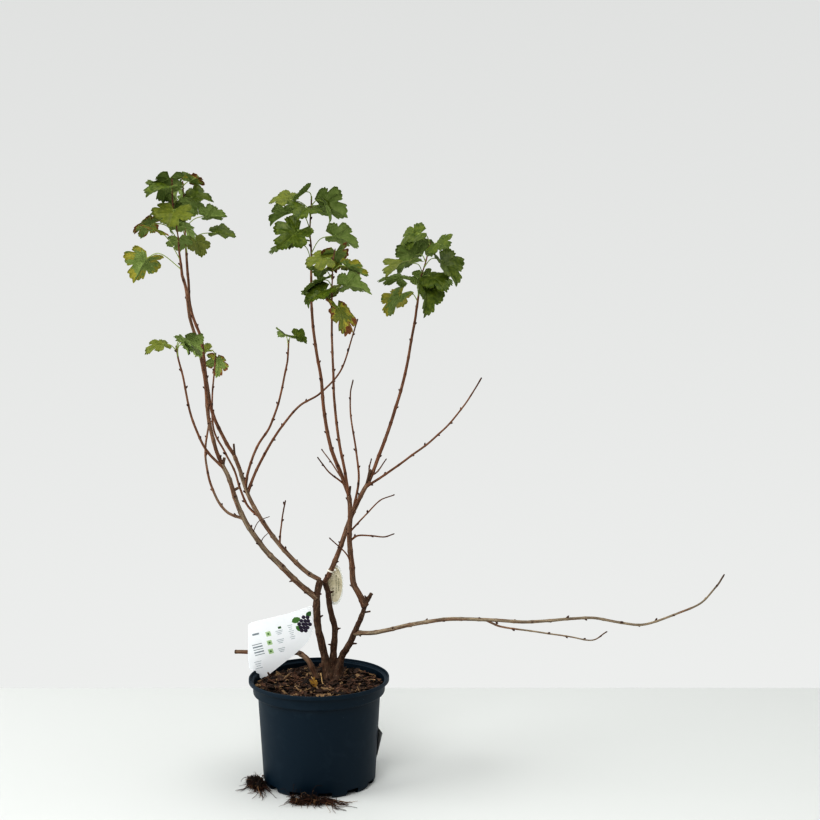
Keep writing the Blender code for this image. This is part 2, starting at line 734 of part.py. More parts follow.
def leafy_shoots(limbs, leaf_green):
    """The bare shoot of every leafy end: its object and its path, by name."""
    ends = {name: (limb.path, limb.radii[-1]) for name, limb in limbs.items()}
    shoots = {}
    for name, parent, points, *_ in LEAFY_ENDS:
        below, radius = ends[parent]
        start = below[-1] + (below[-1] - below[-2]).normalized() * GAP
        path = [start] + [Vector(p) for p in points]
        total = length_of(path)
        radii = [radius]
        for i in range(1, len(path)):
            share = length_of(path[:i + 1]) / total
            radii.append(radius + (SHOOT_TIP_RADIUS - radius) * share)
        ends[name] = (path, SHOOT_TIP_RADIUS)
        item = place_object(name, tube(path, radii, 6))
        item.data.materials.append(leaf_green)
        shoots[name] = (item, path)
    return shoots


def make_leafy_ends(limbs, made, leaf_green):
    """Each leafy end as one solid: a shoot with its leaves fused on."""
    shoots = leafy_shoots(limbs, leaf_green)
    trees = {name: tree_of(item) for name, item in made.items()}
    for name, (item, _) in shoots.items():
        trees[name] = tree_of(item)
    for name, _, _, count, size, stalk, facing, spread, seed in LEAFY_ENDS:
        shoot, path = shoots[name]
        others = [tree for other, tree in trees.items() if other != name]
        parts = []
        for i, leaf in enumerate(deal_leaves(path, count, size, stalk, facing, spread, seed)):
            pair = [stalk_solid(leaf), leaf_solid(leaf)]
            own = [tree_of(piece) for piece in pair]
            if any(tree.overlap(piece) for tree in others for piece in own):
                print(name, "skips leaf", i)
                for piece in pair:
                    bpy.data.objects.remove(piece, do_unlink=True)
            else:
                parts.extend(pair)
        combine(shoot, parts, "UNION")
        trees[name] = tree_of(shoot)


def label_spot(x, z):
    ax, ay, az = LABEL_ANCHOR
    return Vector((x, ay + (x - ax) * LABEL_TURN + (z - az) * LABEL_LEAN, z))


def plate(name, front, depth, finish):
    """A thin flat plate from its front corners and its depth vector."""
    bm = bmesh.new()
    near = [bm.verts.new((corner - depth / 2) * MM) for corner in front]
    far = [bm.verts.new((corner + depth / 2) * MM) for corner in front]
    bm.faces.new(near)
    bm.faces.new(list(reversed(far)))
    for k in range(len(front)):
        nxt = (k + 1) % len(front)
        bm.faces.new((near[k], far[k], far[nxt], near[nxt]))
    return place_object(name, mesh_from(bm, name), finish)


def make_label():
    corners = [label_spot(x, z) for x, z in LABEL_CORNERS]
    normal = Vector((-LABEL_TURN, 1, -LABEL_LEAN)).normalized()
    return plate("plant_label", corners, normal * LABEL_THICKNESS,
                 material("printed_polypropylene", "eef2f3", 0.35))


def make_tag(limbs):
    """The oval tag, and the thread that ties it to the right bough."""
    middle = (TAG_TOP + TAG_FOOT) / 2
    tall = (TAG_TOP - TAG_FOOT) / 2
    wide = Vector((TAG_HALF_WIDTH, 0, 0))
    wide -= tall.normalized() * wide.dot(tall.normalized())
    corners = []
    for k in range(TAG_SIDES):
        turn = 2 * math.pi * k / TAG_SIDES
        corners.append(middle + tall * math.cos(turn) + wide * math.sin(turn))
    normal = tall.cross(wide).normalized()
    if normal.y < 0:
        normal = -normal
    plate("hang_tag", corners, normal * TAG_THICKNESS, material("coated_card", "d6d9bb", 0.6))

    bough = limbs["bough_right"]
    centre, along = point_on(bough.path, THREAD_SHARE)
    radius = bough.radii[1] + GAP + THREAD_RADIUS + THREAD_SLACK
    hole = TAG_TOP.lerp(TAG_FOOT, TAG_HOLE_SHARE) - normal * (TAG_THICKNESS / 2 + GAP)
    out = hole - centre
    out = (out - along * out.dot(along)).normalized()
    across = along.cross(out)
    ring = []
    for k in range(THREAD_STEPS):
        turn = 2 * math.pi * k / THREAD_STEPS
        ring.append(centre + (out * math.cos(turn) + across * math.sin(turn)) * radius)
    thread = place_object("tag_thread", closed_tube(ring, THREAD_RADIUS, THREAD_SIDES),
                          material("cotton_thread", "f2f0ea", 0.9))
    line = [centre + out * radius, hole]
    tail = place_object("tail", tube(line, [THREAD_RADIUS] * 2, THREAD_SIDES))
    combine(thread, [tail], "UNION")


def closed_tube(loop, radius, sides):
    """A ring-shaped tube through a closed loop of points."""
    bm = bmesh.new()
    rings = []
    count = len(loop)
    middle = sum(loop, Vector()) / count
    for i, centre in enumerate(loop):
        along = (loop[(i + 1) % count] - loop[i - 1]).normalized()
        out = (centre - middle).normalized()
        across = along.cross(out)
        ring = []
        for k in range(sides):
            turn = 2 * math.pi * k / sides
            rim = out * math.cos(turn) + across * math.sin(turn)
            ring.append(bm.verts.new((centre + rim * radius) * MM))
        rings.append(ring)
    for i in range(count):
        low, high = rings[i], rings[(i + 1) % count]
        for k in range(sides):
            nxt = (k + 1) % sides
            bm.faces.new((low[k], low[nxt], high[nxt], high[k]))
    return mesh_from(bm, "ring")


def make_sticker():
    """A sheet that follows the pot's wall and lifts off at its front corner."""
    columns, rows = STICKER_GRID
    bm = bmesh.new()
    layers = []
    for skin in (0.0, STICKER_THICKNESS):
        grid = []
        for i in range(columns):
            turn = STICKER_ANGLES[0] + (STICKER_ANGLES[1] - STICKER_ANGLES[0]) * i / (columns - 1)
            line = []
            for j in range(rows):
                low, high = STICKER_HEIGHTS
                z = low + (high - low) * j / (rows - 1)
                near_top = max(0.0, 1 - abs(z - STICKER_LIFT_HEIGHT) / (STICKER_LIFT_HEIGHT - low))
                near_edge = max(0.0, 1 - turn / STICKER_LIFT_ANGLE)
                lift = STICKER_LIFT * near_top * near_edge ** STICKER_CURL
                radius = wall_radius(z) + STICKER_CLEARANCE + lift + skin
                angle = math.radians(turn)
                spot = Vector((radius * math.cos(angle), radius * math.sin(angle), z))
                line.append(bm.verts.new(spot * MM))
            grid.append(line)
        layers.append(grid)
    inner, outer = layers
    for i in range(columns - 1):
        for j in range(rows - 1):
            for grid in layers:
                bm.faces.new((grid[i][j], grid[i + 1][j], grid[i + 1][j + 1], grid[i][j + 1]))
    edge = [(i, 0) for i in range(columns)] + [(columns - 1, j) for j in range(1, rows)]
    edge += [(i, rows - 1) for i in range(columns - 2, -1, -1)]
    edge += [(0, j) for j in range(rows - 2, 0, -1)]
    for k, (i, j) in enumerate(edge):
        m, n = edge[(k + 1) % len(edge)]
        bm.faces.new((inner[i][j], inner[m][n], outer[m][n], outer[i][j]))
    return place_object("pot_sticker", mesh_from(bm, "pot_sticker"),
                        material("blank_paper_sticker", "9aa09f", 0.7))


def make_root_tuft(name, direction, notches, reach, height, half, count, seed):
    """A clump of fine root outside a notch, with a neck into the mix and loose strands."""
    chance = random.Random(seed)
    turn = math.radians(direction)
    out = Vector((math.cos(turn), math.sin(turn), 0))
    side = Vector((-out.y, out.x, 0))
    centre = out * reach + UP * height
    bm = bmesh.new()
    bmesh.ops.create_icosphere(bm, subdivisions=2, radius=1.0)
    for vert in bm.verts:
        ruffle = 1 + chance.uniform(-ROOT_RUFFLE, ROOT_RUFFLE)
        shape = out * vert.co.x * half[0] + side * vert.co.y * half[1] + UP * vert.co.z * half[2]
        vert.co = (centre + shape * ruffle) * MM
        vert.co.z = max(vert.co.z, STRAND_FLOOR * MM)
    clump = place_object(name, mesh_from(bm, name))
    clump.data.materials.append(material("fine_roots", "2a1c17", 0.95))
    parts = []
    for notch in notches:
        ray = math.radians(notch)
        aim = Vector((math.cos(ray), math.sin(ray), 0))
        inside = aim * (inner_radius(height) + NECK_CLEARANCE) + UP * NECK_HEIGHT
        line = [inside, inside + aim * NECK_LENGTH, centre]
        parts.append(place_object("neck", tube(line, NECK_RADII + NECK_RADII[-1:], 6)))
    for k in range(count):
        fan = (k + 0.5) / count * 2 - 1
        bearing = turn + fan * math.radians(STRAND_FAN) + chance.uniform(-0.15, 0.15)
        aim = Vector((math.cos(bearing), math.sin(bearing), 0))
        start = centre + side * half[1] * fan * 0.7
        long = chance.uniform(*STRAND_REACH)
        path = [start]
        for step in (0.45, 0.75, 1.0):
            spot = start + aim * (half[0] * 0.6 + long * step)
            spot += side * chance.uniform(-STRAND_STRAY, STRAND_STRAY)
            spot.z = max(height * (1 - step) * 0.8, STRAND_FLOOR + STRAND_RADII[0])
            path.append(spot)
        root, tip = STRAND_RADII
        parts.append(place_object("strand", tube(path, [root, root, root, tip], 3)))
    combine(clump, parts, "UNION")


def main():
    clear_scene()
    bark = material("jostaberry_bark", "5b4334", 0.75)
    make_pot()
    make_mix()
    trunk = make_risers()
    trunk.data.materials.append(bark)
    limbs, made = make_limbs(trunk, bark)
    make_cut_branch(limbs, made, bark)
    make_leafy_ends(limbs, made, material("jostaberry_leaf", "4d6b2b", 0.6))
    make_label()
    make_tag(limbs)
    make_sticker()
    for tuft in ROOT_TUFTS:
        make_root_tuft(*tuft)


main()
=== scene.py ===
# %% [markdown]
# # A young jostaberry bush in its nursery pot
# The bush stands in a five-litre pot of bark mix.  Three stems fork into long bare limbs, and
# leaves are left only at their tips.  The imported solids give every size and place, and this
# lesson dresses them: wood with real bark relief, toothed and veined leaves, a mulch of chips,
# the pot's rim and notches, a plastic label, a card tag, a sticker and the escaped roots.
# Lengths are in millimetres until a mesh is made, because a gardener would measure them so.

# %% Load the fixed frame
import math
import random

import bmesh
import bpy
from mathutils import Matrix, Vector, noise


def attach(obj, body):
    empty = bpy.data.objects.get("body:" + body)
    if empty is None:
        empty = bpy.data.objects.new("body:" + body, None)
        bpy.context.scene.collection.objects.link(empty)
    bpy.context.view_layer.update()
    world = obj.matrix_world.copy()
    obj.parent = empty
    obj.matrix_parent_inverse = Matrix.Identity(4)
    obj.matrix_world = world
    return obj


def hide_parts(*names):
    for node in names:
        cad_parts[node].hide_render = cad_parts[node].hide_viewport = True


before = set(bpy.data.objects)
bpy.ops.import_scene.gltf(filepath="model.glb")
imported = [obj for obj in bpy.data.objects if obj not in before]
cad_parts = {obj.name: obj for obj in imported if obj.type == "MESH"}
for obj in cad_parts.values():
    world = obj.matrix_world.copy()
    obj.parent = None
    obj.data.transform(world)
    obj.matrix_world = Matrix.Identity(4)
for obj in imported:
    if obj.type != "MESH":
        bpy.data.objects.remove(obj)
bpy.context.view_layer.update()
MM = 0.001
UP = Vector((0, 0, 1))

# %% [markdown]
# ## The camera
# The bush was photographed from about two metres, a little above its middle, with a long lens.
# The camera could be aimed by eye, but its place was worked out from sizes that are known, so
# every limb falls where it should.  A firmer contrast than Blender's own stands in for the one
# that a camera adds.

# %% Camera
FOCAL_PIXELS = 1400.0
IMAGE_WIDTH = 820.0
SENSOR = 36.0
CAMERA_PLACE = (0.1414, -2.1300, 0.7821)
CAMERA_PITCH = 5.395

camera = bpy.data.objects.new("camera", bpy.data.cameras.new("camera"))
bpy.context.scene.collection.objects.link(camera)
camera.data.sensor_width = SENSOR
camera.data.lens = FOCAL_PIXELS / IMAGE_WIDTH * SENSOR
camera.location = CAMERA_PLACE
camera.rotation_euler = (math.radians(90 - CAMERA_PITCH), 0, 0)
bpy.context.scene.camera = camera
bpy.context.scene.view_settings.view_transform = "Standard"
bpy.context.scene.view_settings.look = "High Contrast"
print("camera lens", round(camera.data.lens, 2), "mm")

# %% [markdown]
# ## Colours and shader nodes
# Materials here are small graphs of nodes.  They could be drawn by hand in the shader editor,
# but two short helpers keep them readable in code: one adds any node with its settings and
# links, and one starts a material from a single Principled shader.

# %% Helpers for materials


def linear(code):
    """An sRGB hex colour as the linear colour that shaders work in."""
    parts = [int(code[i:i + 2], 16) / 255 for i in (1, 3, 5)]
    return [v / 12.92 if v <= 0.04045 else ((v + 0.055) / 1.055) ** 2.4 for v in parts] + [1.0]


def add(tree, kind, inputs=None, **settings):
    """Adds a node, with its settings, and with values or links for its inputs."""
    node = tree.nodes.new(kind)
    for name, value in settings.items():
        setattr(node, name, value)
    for name, value in (inputs or {}).items():
        if isinstance(value, bpy.types.NodeSocket):
            tree.links.new(value, node.inputs[name])
        else:
            node.inputs[name].default_value = value
    return node


def surface(name, colour, roughness, ior=1.5, **sockets):
    """A material with one Principled shader.  Returns the material, its tree and its shader."""
    made = bpy.data.materials.new(name)
    made.use_nodes = True
    shader = made.node_tree.nodes["Principled BSDF"]
    shader.inputs["Base Color"].default_value = linear(colour)
    shader.inputs["Roughness"].default_value = roughness
    shader.inputs["IOR"].default_value = ior
    for socket, value in sockets.items():
        shader.inputs[socket.replace("_", " ")].default_value = value
    return made, made.node_tree, shader


print("mid grey is", round(linear("#808080")[0], 3), "in linear light")

# %% [markdown]
# ## Light
# The light is that of a photo booth: soft, bright and nearly white.  One lamp would give hard
# shadows, so a bright sky does most of the work.  It is dimmer on the camera's side, where a
# booth is open, so the dark plastic keeps its depth.  Three large lamps help: the left one
# gives the pot its pale left edge, and the others open up the leaves and the mulch.

# %% Lamps and sky
LAMPS = (
    # name, place in m, target in m, size in m, power in W
    ("left_softbox", (-2.9, -0.72, 1.75), (0, 0, 0.3), 2.2, 47),
    ("top_softbox", (1.0, -0.3, 2.6), (0.3, 0, 0.2), 1.8, 13),
    ("front_softbox", (-0.6, -2.5, 2.2), (0, 0, 0.4), 1.6, 38),
)
SKY_STRENGTH = 0.66
DIM_FRONT = 0.34            # share of the sky's light that is left on the camera's side
SKY_BELOW, SKY_ABOVE = 1.06, 0.95


def lamp(name, place, target, size, power):
    made = bpy.data.objects.new(name, bpy.data.lights.new(name, "AREA"))
    made.data.size = size
    made.data.energy = power
    made.location = place
    made.rotation_euler = (Vector(target) - Vector(place)).to_track_quat("-Z", "Y").to_euler()
    bpy.context.scene.collection.objects.link(made)


for row in LAMPS:
    lamp(*row)
sky = bpy.data.worlds.new("booth")
sky.use_nodes = True
tree = sky.node_tree
aim = add(tree, "ShaderNodeTexCoord").outputs["Generated"]
parts = add(tree, "ShaderNodeSeparateXYZ", {"Vector": aim})
front = add(tree, "ShaderNodeMapRange", {"Value": parts.outputs["Y"], "From Min": -0.9,
                                         "From Max": 0.1, "To Min": DIM_FRONT})
rise = add(tree, "ShaderNodeMapRange", {"Value": parts.outputs["Z"], "From Min": -0.3,
                                        "From Max": 0.2, "To Min": SKY_BELOW,
                                        "To Max": SKY_ABOVE})
both = add(tree, "ShaderNodeMath", {0: front.outputs["Result"], 1: rise.outputs["Result"]},
           operation="MULTIPLY")
power = add(tree, "ShaderNodeMath", {0: both.outputs[0], 1: SKY_STRENGTH}, operation="MULTIPLY")
tree.nodes["Background"].inputs["Color"].default_value = linear("#f0f1f0")
tree.links.new(power.outputs[0], tree.nodes["Background"].inputs["Strength"])
bpy.context.scene.world = sky
print(len(LAMPS), "lamps and a sky")

# %% [markdown]
# ## The floor
# The pot stands on a plain matt sheet of pale paper, which is only a stage.  It ends a little
# behind the pot, so the camera sees its edge against the sky as a quiet horizon.

# %% Floor
FLOOR_LEFT, FLOOR_RIGHT, FLOOR_FRONT, FLOOR_BACK = -3.0, 3.0, -3.0, 0.49
floor_mesh = bpy.data.meshes.new("floor")
floor_mesh.from_pydata([(FLOOR_LEFT, FLOOR_FRONT, 0), (FLOOR_RIGHT, FLOOR_FRONT, 0),
                        (FLOOR_RIGHT, FLOOR_BACK, 0), (FLOOR_LEFT, FLOOR_BACK, 0)],
                       [], [(0, 1, 2, 3)])
floor = bpy.data.objects.new("floor", floor_mesh)
bpy.context.scene.collection.objects.link(floor)
floor_mesh.materials.append(surface("matt studio paper", "#d6d8d6", 0.8)[0])
print("floor", FLOOR_RIGHT - FLOOR_LEFT, "m wide")

# %% [markdown]
# ## Gathering shapes into joined meshes
# A bush has hundreds of buds, leaves and bark chips.  Each could be an object, but that is slow
# and hard to export.  A batch gathers the points and faces of one kind of thing in plain lists
# and makes one mesh of them at the end.  Each face keeps the number of its finish, and each
# point can keep its place on the wood, which the bark pattern follows.

# %% A batch of shapes


class Batch:
    """Points and faces gathered for one joined mesh."""

    def __init__(self):
        self.points = []
        self.faces = []
        self.finishes = []
        self.grain = []
        self.coat = []

    def put(self, points, faces, finish=0, grain=(), coat=()):
        base = len(self.points)
        self.points.extend(points)
        self.faces.extend([tuple(base + i for i in face) for face in faces])
        chosen = finish if isinstance(finish, list) else [finish] * len(faces)
        self.finishes.extend(chosen)
        self.grain.extend(grain)
        self.coat.extend(coat)

    def make(self, name, materials, slot, nodes=(), smooth=True):
        mesh = bpy.data.meshes.new(name)
        mesh.from_pydata([p * MM for p in self.points], [], self.faces)
        for each in materials:
            mesh.materials.append(each)
        mesh.polygons.foreach_set("material_index", self.finishes)
        mesh.polygons.foreach_set("use_smooth", [smooth] * len(self.faces))
        for label, values in (("grain", self.grain), ("coat", self.coat)):
            if values:
                kept = mesh.attributes.new(label, "FLOAT_VECTOR", "POINT")
                kept.data.foreach_set("vector", [v for place in values for v in place])
        mesh.update()
        piece = bpy.data.objects.new(name, mesh)
        bpy.context.scene.collection.objects.link(piece)
        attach(piece, "root")
        if nodes:
            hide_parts(*nodes)
        print(name, len(self.faces), "faces")


print("an empty batch has", len(Batch().points), "points")

# %% [markdown]
# ## Tubes along smooth paths
# Limbs, stalks, veins, threads and roots are all tubes.  A curve object with a bevel would do,
# but its points can't carry bark coordinates, so the rings are laid one by one: each turns as
# little as it can from the one before.  Paths are cubic curves through a few chosen points.

# %% Tubes and paths


def tube(path, radii, sides, closed_ends=True):
    """Points and faces of a tube along a path, its rings turning as little as they can."""
    points, faces = [], []
    side = UP.orthogonal()
    for i, centre in enumerate(path):
        along = (path[min(i + 1, len(path) - 1)] - path[max(i - 1, 0)]).normalized()
        side = (side - along * side.dot(along)).normalized()
        across = along.cross(side)
        for k in range(sides):
            turn = 2 * math.pi * k / sides
            points.append(centre + (side * math.cos(turn) + across * math.sin(turn)) * radii[i])
    for i in range(len(path) - 1):
        for k in range(sides):
            low, high, nxt = i * sides, (i + 1) * sides, (k + 1) % sides
            faces.append((low + k, low + nxt, high + nxt, high + k))
    if closed_ends:
        last = (len(path) - 1) * sides
        faces.append(tuple(range(sides - 1, -1, -1)))
        faces.append(tuple(range(last, last + sides)))
    return points, faces


def length_of(path):
    return sum((b - a).length for a, b in zip(path, path[1:]))


def point_on(path, share):
    """The point and the direction at a share of a path's length."""
    left = length_of(path) * share
    for a, b in zip(path, path[1:]):
        step = (b - a).length
        if left <= step + 1e-9:
            return a.lerp(b, left / step), (b - a).normalized()
        left -= step
    return path[-1].copy(), (path[-1] - path[-2]).normalized()


def smooth_path(points, spacing):
    """Points along a smooth curve through the given points, ends kept."""
    tangents = []
    for i in range(len(points)):
        before = points[max(i - 1, 0)]
        after = points[min(i + 1, len(points) - 1)]
        tangents.append((after - before).normalized())
    path = [points[0].copy()]
    for i in range(len(points) - 1):
        start, end = points[i], points[i + 1]
        steps = max(1, round((end - start).length / spacing))
        pull = (end - start).length / 3
        for k in range(1, steps + 1):
            t = k / steps
            a = start.lerp(start + tangents[i] * pull, t)
            b = (start + tangents[i] * pull).lerp(end - tangents[i + 1] * pull, t)
            c = (end - tangents[i + 1] * pull).lerp(end, t)
            path.append(a.lerp(b, t).lerp(b.lerp(c, t), t))
    return path


print("tube of 2 rings has", len(tube([Vector(), UP], [1, 1], 8)[1]), "faces")

# %% [markdown]
# ## Bark
# Currant wood changes with age.  A shoot of this year has smooth red-brown skin.  On older
# limbs that skin turns grey and splits lengthways, and the lowest stems are dark and rough.  A
# painted image could show this, but a pattern that follows each limb stays sharp from close up,
# so every point of the wood carries its place round and along the limb, with its age, how much
# grey film it has and how dark its tip is.  The shader mixes the colours by those, darkens them
# along the splits, partly for the splits' own dark colour and partly as painted shade in the
# furrows, and dots them with the pale pores that currant bark breathes through.

# %% Bark that follows the limb
STREAK_WIDTH = 2.6          # mm between splits round the limb
FIBRE_WIDTH = 0.7
PATCH_WIDTH = 6.0           # mm across a patch of grey film
PORE_SPACING = 2.4          # mm between pores, drawn coarser than real so that they show
BARK_RELIEF = 0.00025       # m, how deep the finest splits look


def bark_material():
    made, tree, shader = surface("split and weathered currant bark", "#6b4a3c", 0.72, 1.45)
    grain = add(tree, "ShaderNodeAttribute", attribute_name="grain").outputs["Vector"]
    coat = add(tree, "ShaderNodeAttribute", attribute_name="coat").outputs["Vector"]
    parts = add(tree, "ShaderNodeSeparateXYZ", {"Vector": coat})
    streak = add(tree, "ShaderNodeTexNoise", {"Vector": grain, "Scale": 1 / STREAK_WIDTH,
                                              "Detail": 4.0, "Roughness": 0.6})
    fibre = add(tree, "ShaderNodeTexNoise", {"Vector": grain, "Scale": 1 / FIBRE_WIDTH,
                                             "Detail": 3.0})
    patch = add(tree, "ShaderNodeTexNoise", {"Vector": grain, "Scale": 1 / PATCH_WIDTH,
                                             "Detail": 3.0, "Roughness": 0.65})
    aged = add(tree, "ShaderNodeMix", {"Factor": parts.outputs["X"], 6: linear("#744b33"),
                                       7: linear("#452a18")}, data_type="RGBA")
    film = add(tree, "ShaderNodeMapRange", {"Value": patch.outputs["Fac"], "From Min": 0.42,
                                            "From Max": 0.60, "To Min": 0.22})
    grey = add(tree, "ShaderNodeMath", {0: film.outputs["Result"], 1: parts.outputs["Y"]},
               operation="MULTIPLY")
    filmed = add(tree, "ShaderNodeMix", {"Factor": grey.outputs[0], 6: aged.outputs[2],
                                         7: linear("#8c7e6a")}, data_type="RGBA")
    # The streaks darken the colour where the bump sinks: partly the splits' own dark colour, partly
    # painted shade in the furrows.
    tone = add(tree, "ShaderNodeMapRange", {"Value": streak.outputs["Fac"], "From Min": 0.3,
                                            "From Max": 0.7, "To Min": 0.4, "To Max": 1.36})
    shade = add(tree, "ShaderNodeVectorMath", {0: filmed.outputs[2],
                                               "Scale": tone.outputs["Result"]},
                operation="SCALE")
    dark = add(tree, "ShaderNodeMix", {"Factor": parts.outputs["Z"],
                                       6: shade.outputs["Vector"],
                                       7: linear("#3b2a24")}, data_type="RGBA")
    pores = add(tree, "ShaderNodeTexVoronoi", {"Vector": grain, "Scale": 1 / PORE_SPACING})
    pore = add(tree, "ShaderNodeMapRange", {"Value": pores.outputs["Distance"],
                                            "From Min": 0.20, "From Max": 0.12, "To Max": 0.55})
    flecked = add(tree, "ShaderNodeMix", {"Factor": pore.outputs["Result"], 6: dark.outputs[2],
                                          7: linear("#a88f78")}, data_type="RGBA")
    tree.links.new(flecked.outputs[2], shader.inputs["Base Color"])
    relief = add(tree, "ShaderNodeMath", {0: streak.outputs["Fac"], 1: fibre.outputs["Fac"]},
                 operation="ADD")
    bump = add(tree, "ShaderNodeBump", {"Height": relief.outputs[0], "Strength": 0.5,
                                        "Distance": BARK_RELIEF})
    tree.links.new(bump.outputs["Normal"], shader.inputs["Normal"])
    return made


bark = bark_material()
cut_wood = surface("dry cut wood", "#9c8468", 0.85, 1.45)[0]
bud_scale = surface("bud scales", "#43291f", 0.6, 1.45)[0]
print("bark splits every", STREAK_WIDTH, "mm")

# %% [markdown]
# ## The limbs
# The trunk is a short crown that divides into three stems.  The stems fork into boughs, and
# the boughs into leaders, shoots and twigs.  Freehand sculpting could give them, but a table
# of how each limb leaves its parent and bends is easier to read and to change.  Each row says
# the parent, the share of its length where the limb starts, the points it bends through, its
# radius at root and tip, and the stubs where side growth was cut off.

# %% The table of limbs
TRUNK_FOOT = Vector((21.0, 11.0, 157.3))
RISERS = (
    # fork tip, radius at the foot, radius at the tip
    (Vector((6.0, 8.0, 204.0)), 9.5, 6.2),
    (Vector((21.5, 16.0, 202.0)), 9.5, 5.4),
    (Vector((35.0, 12.0, 194.0)), 9.0, 5.6),
)
FOOT_SPREAD = 0.32
FLARE = 0.55
FLARE_REACH = 9.0

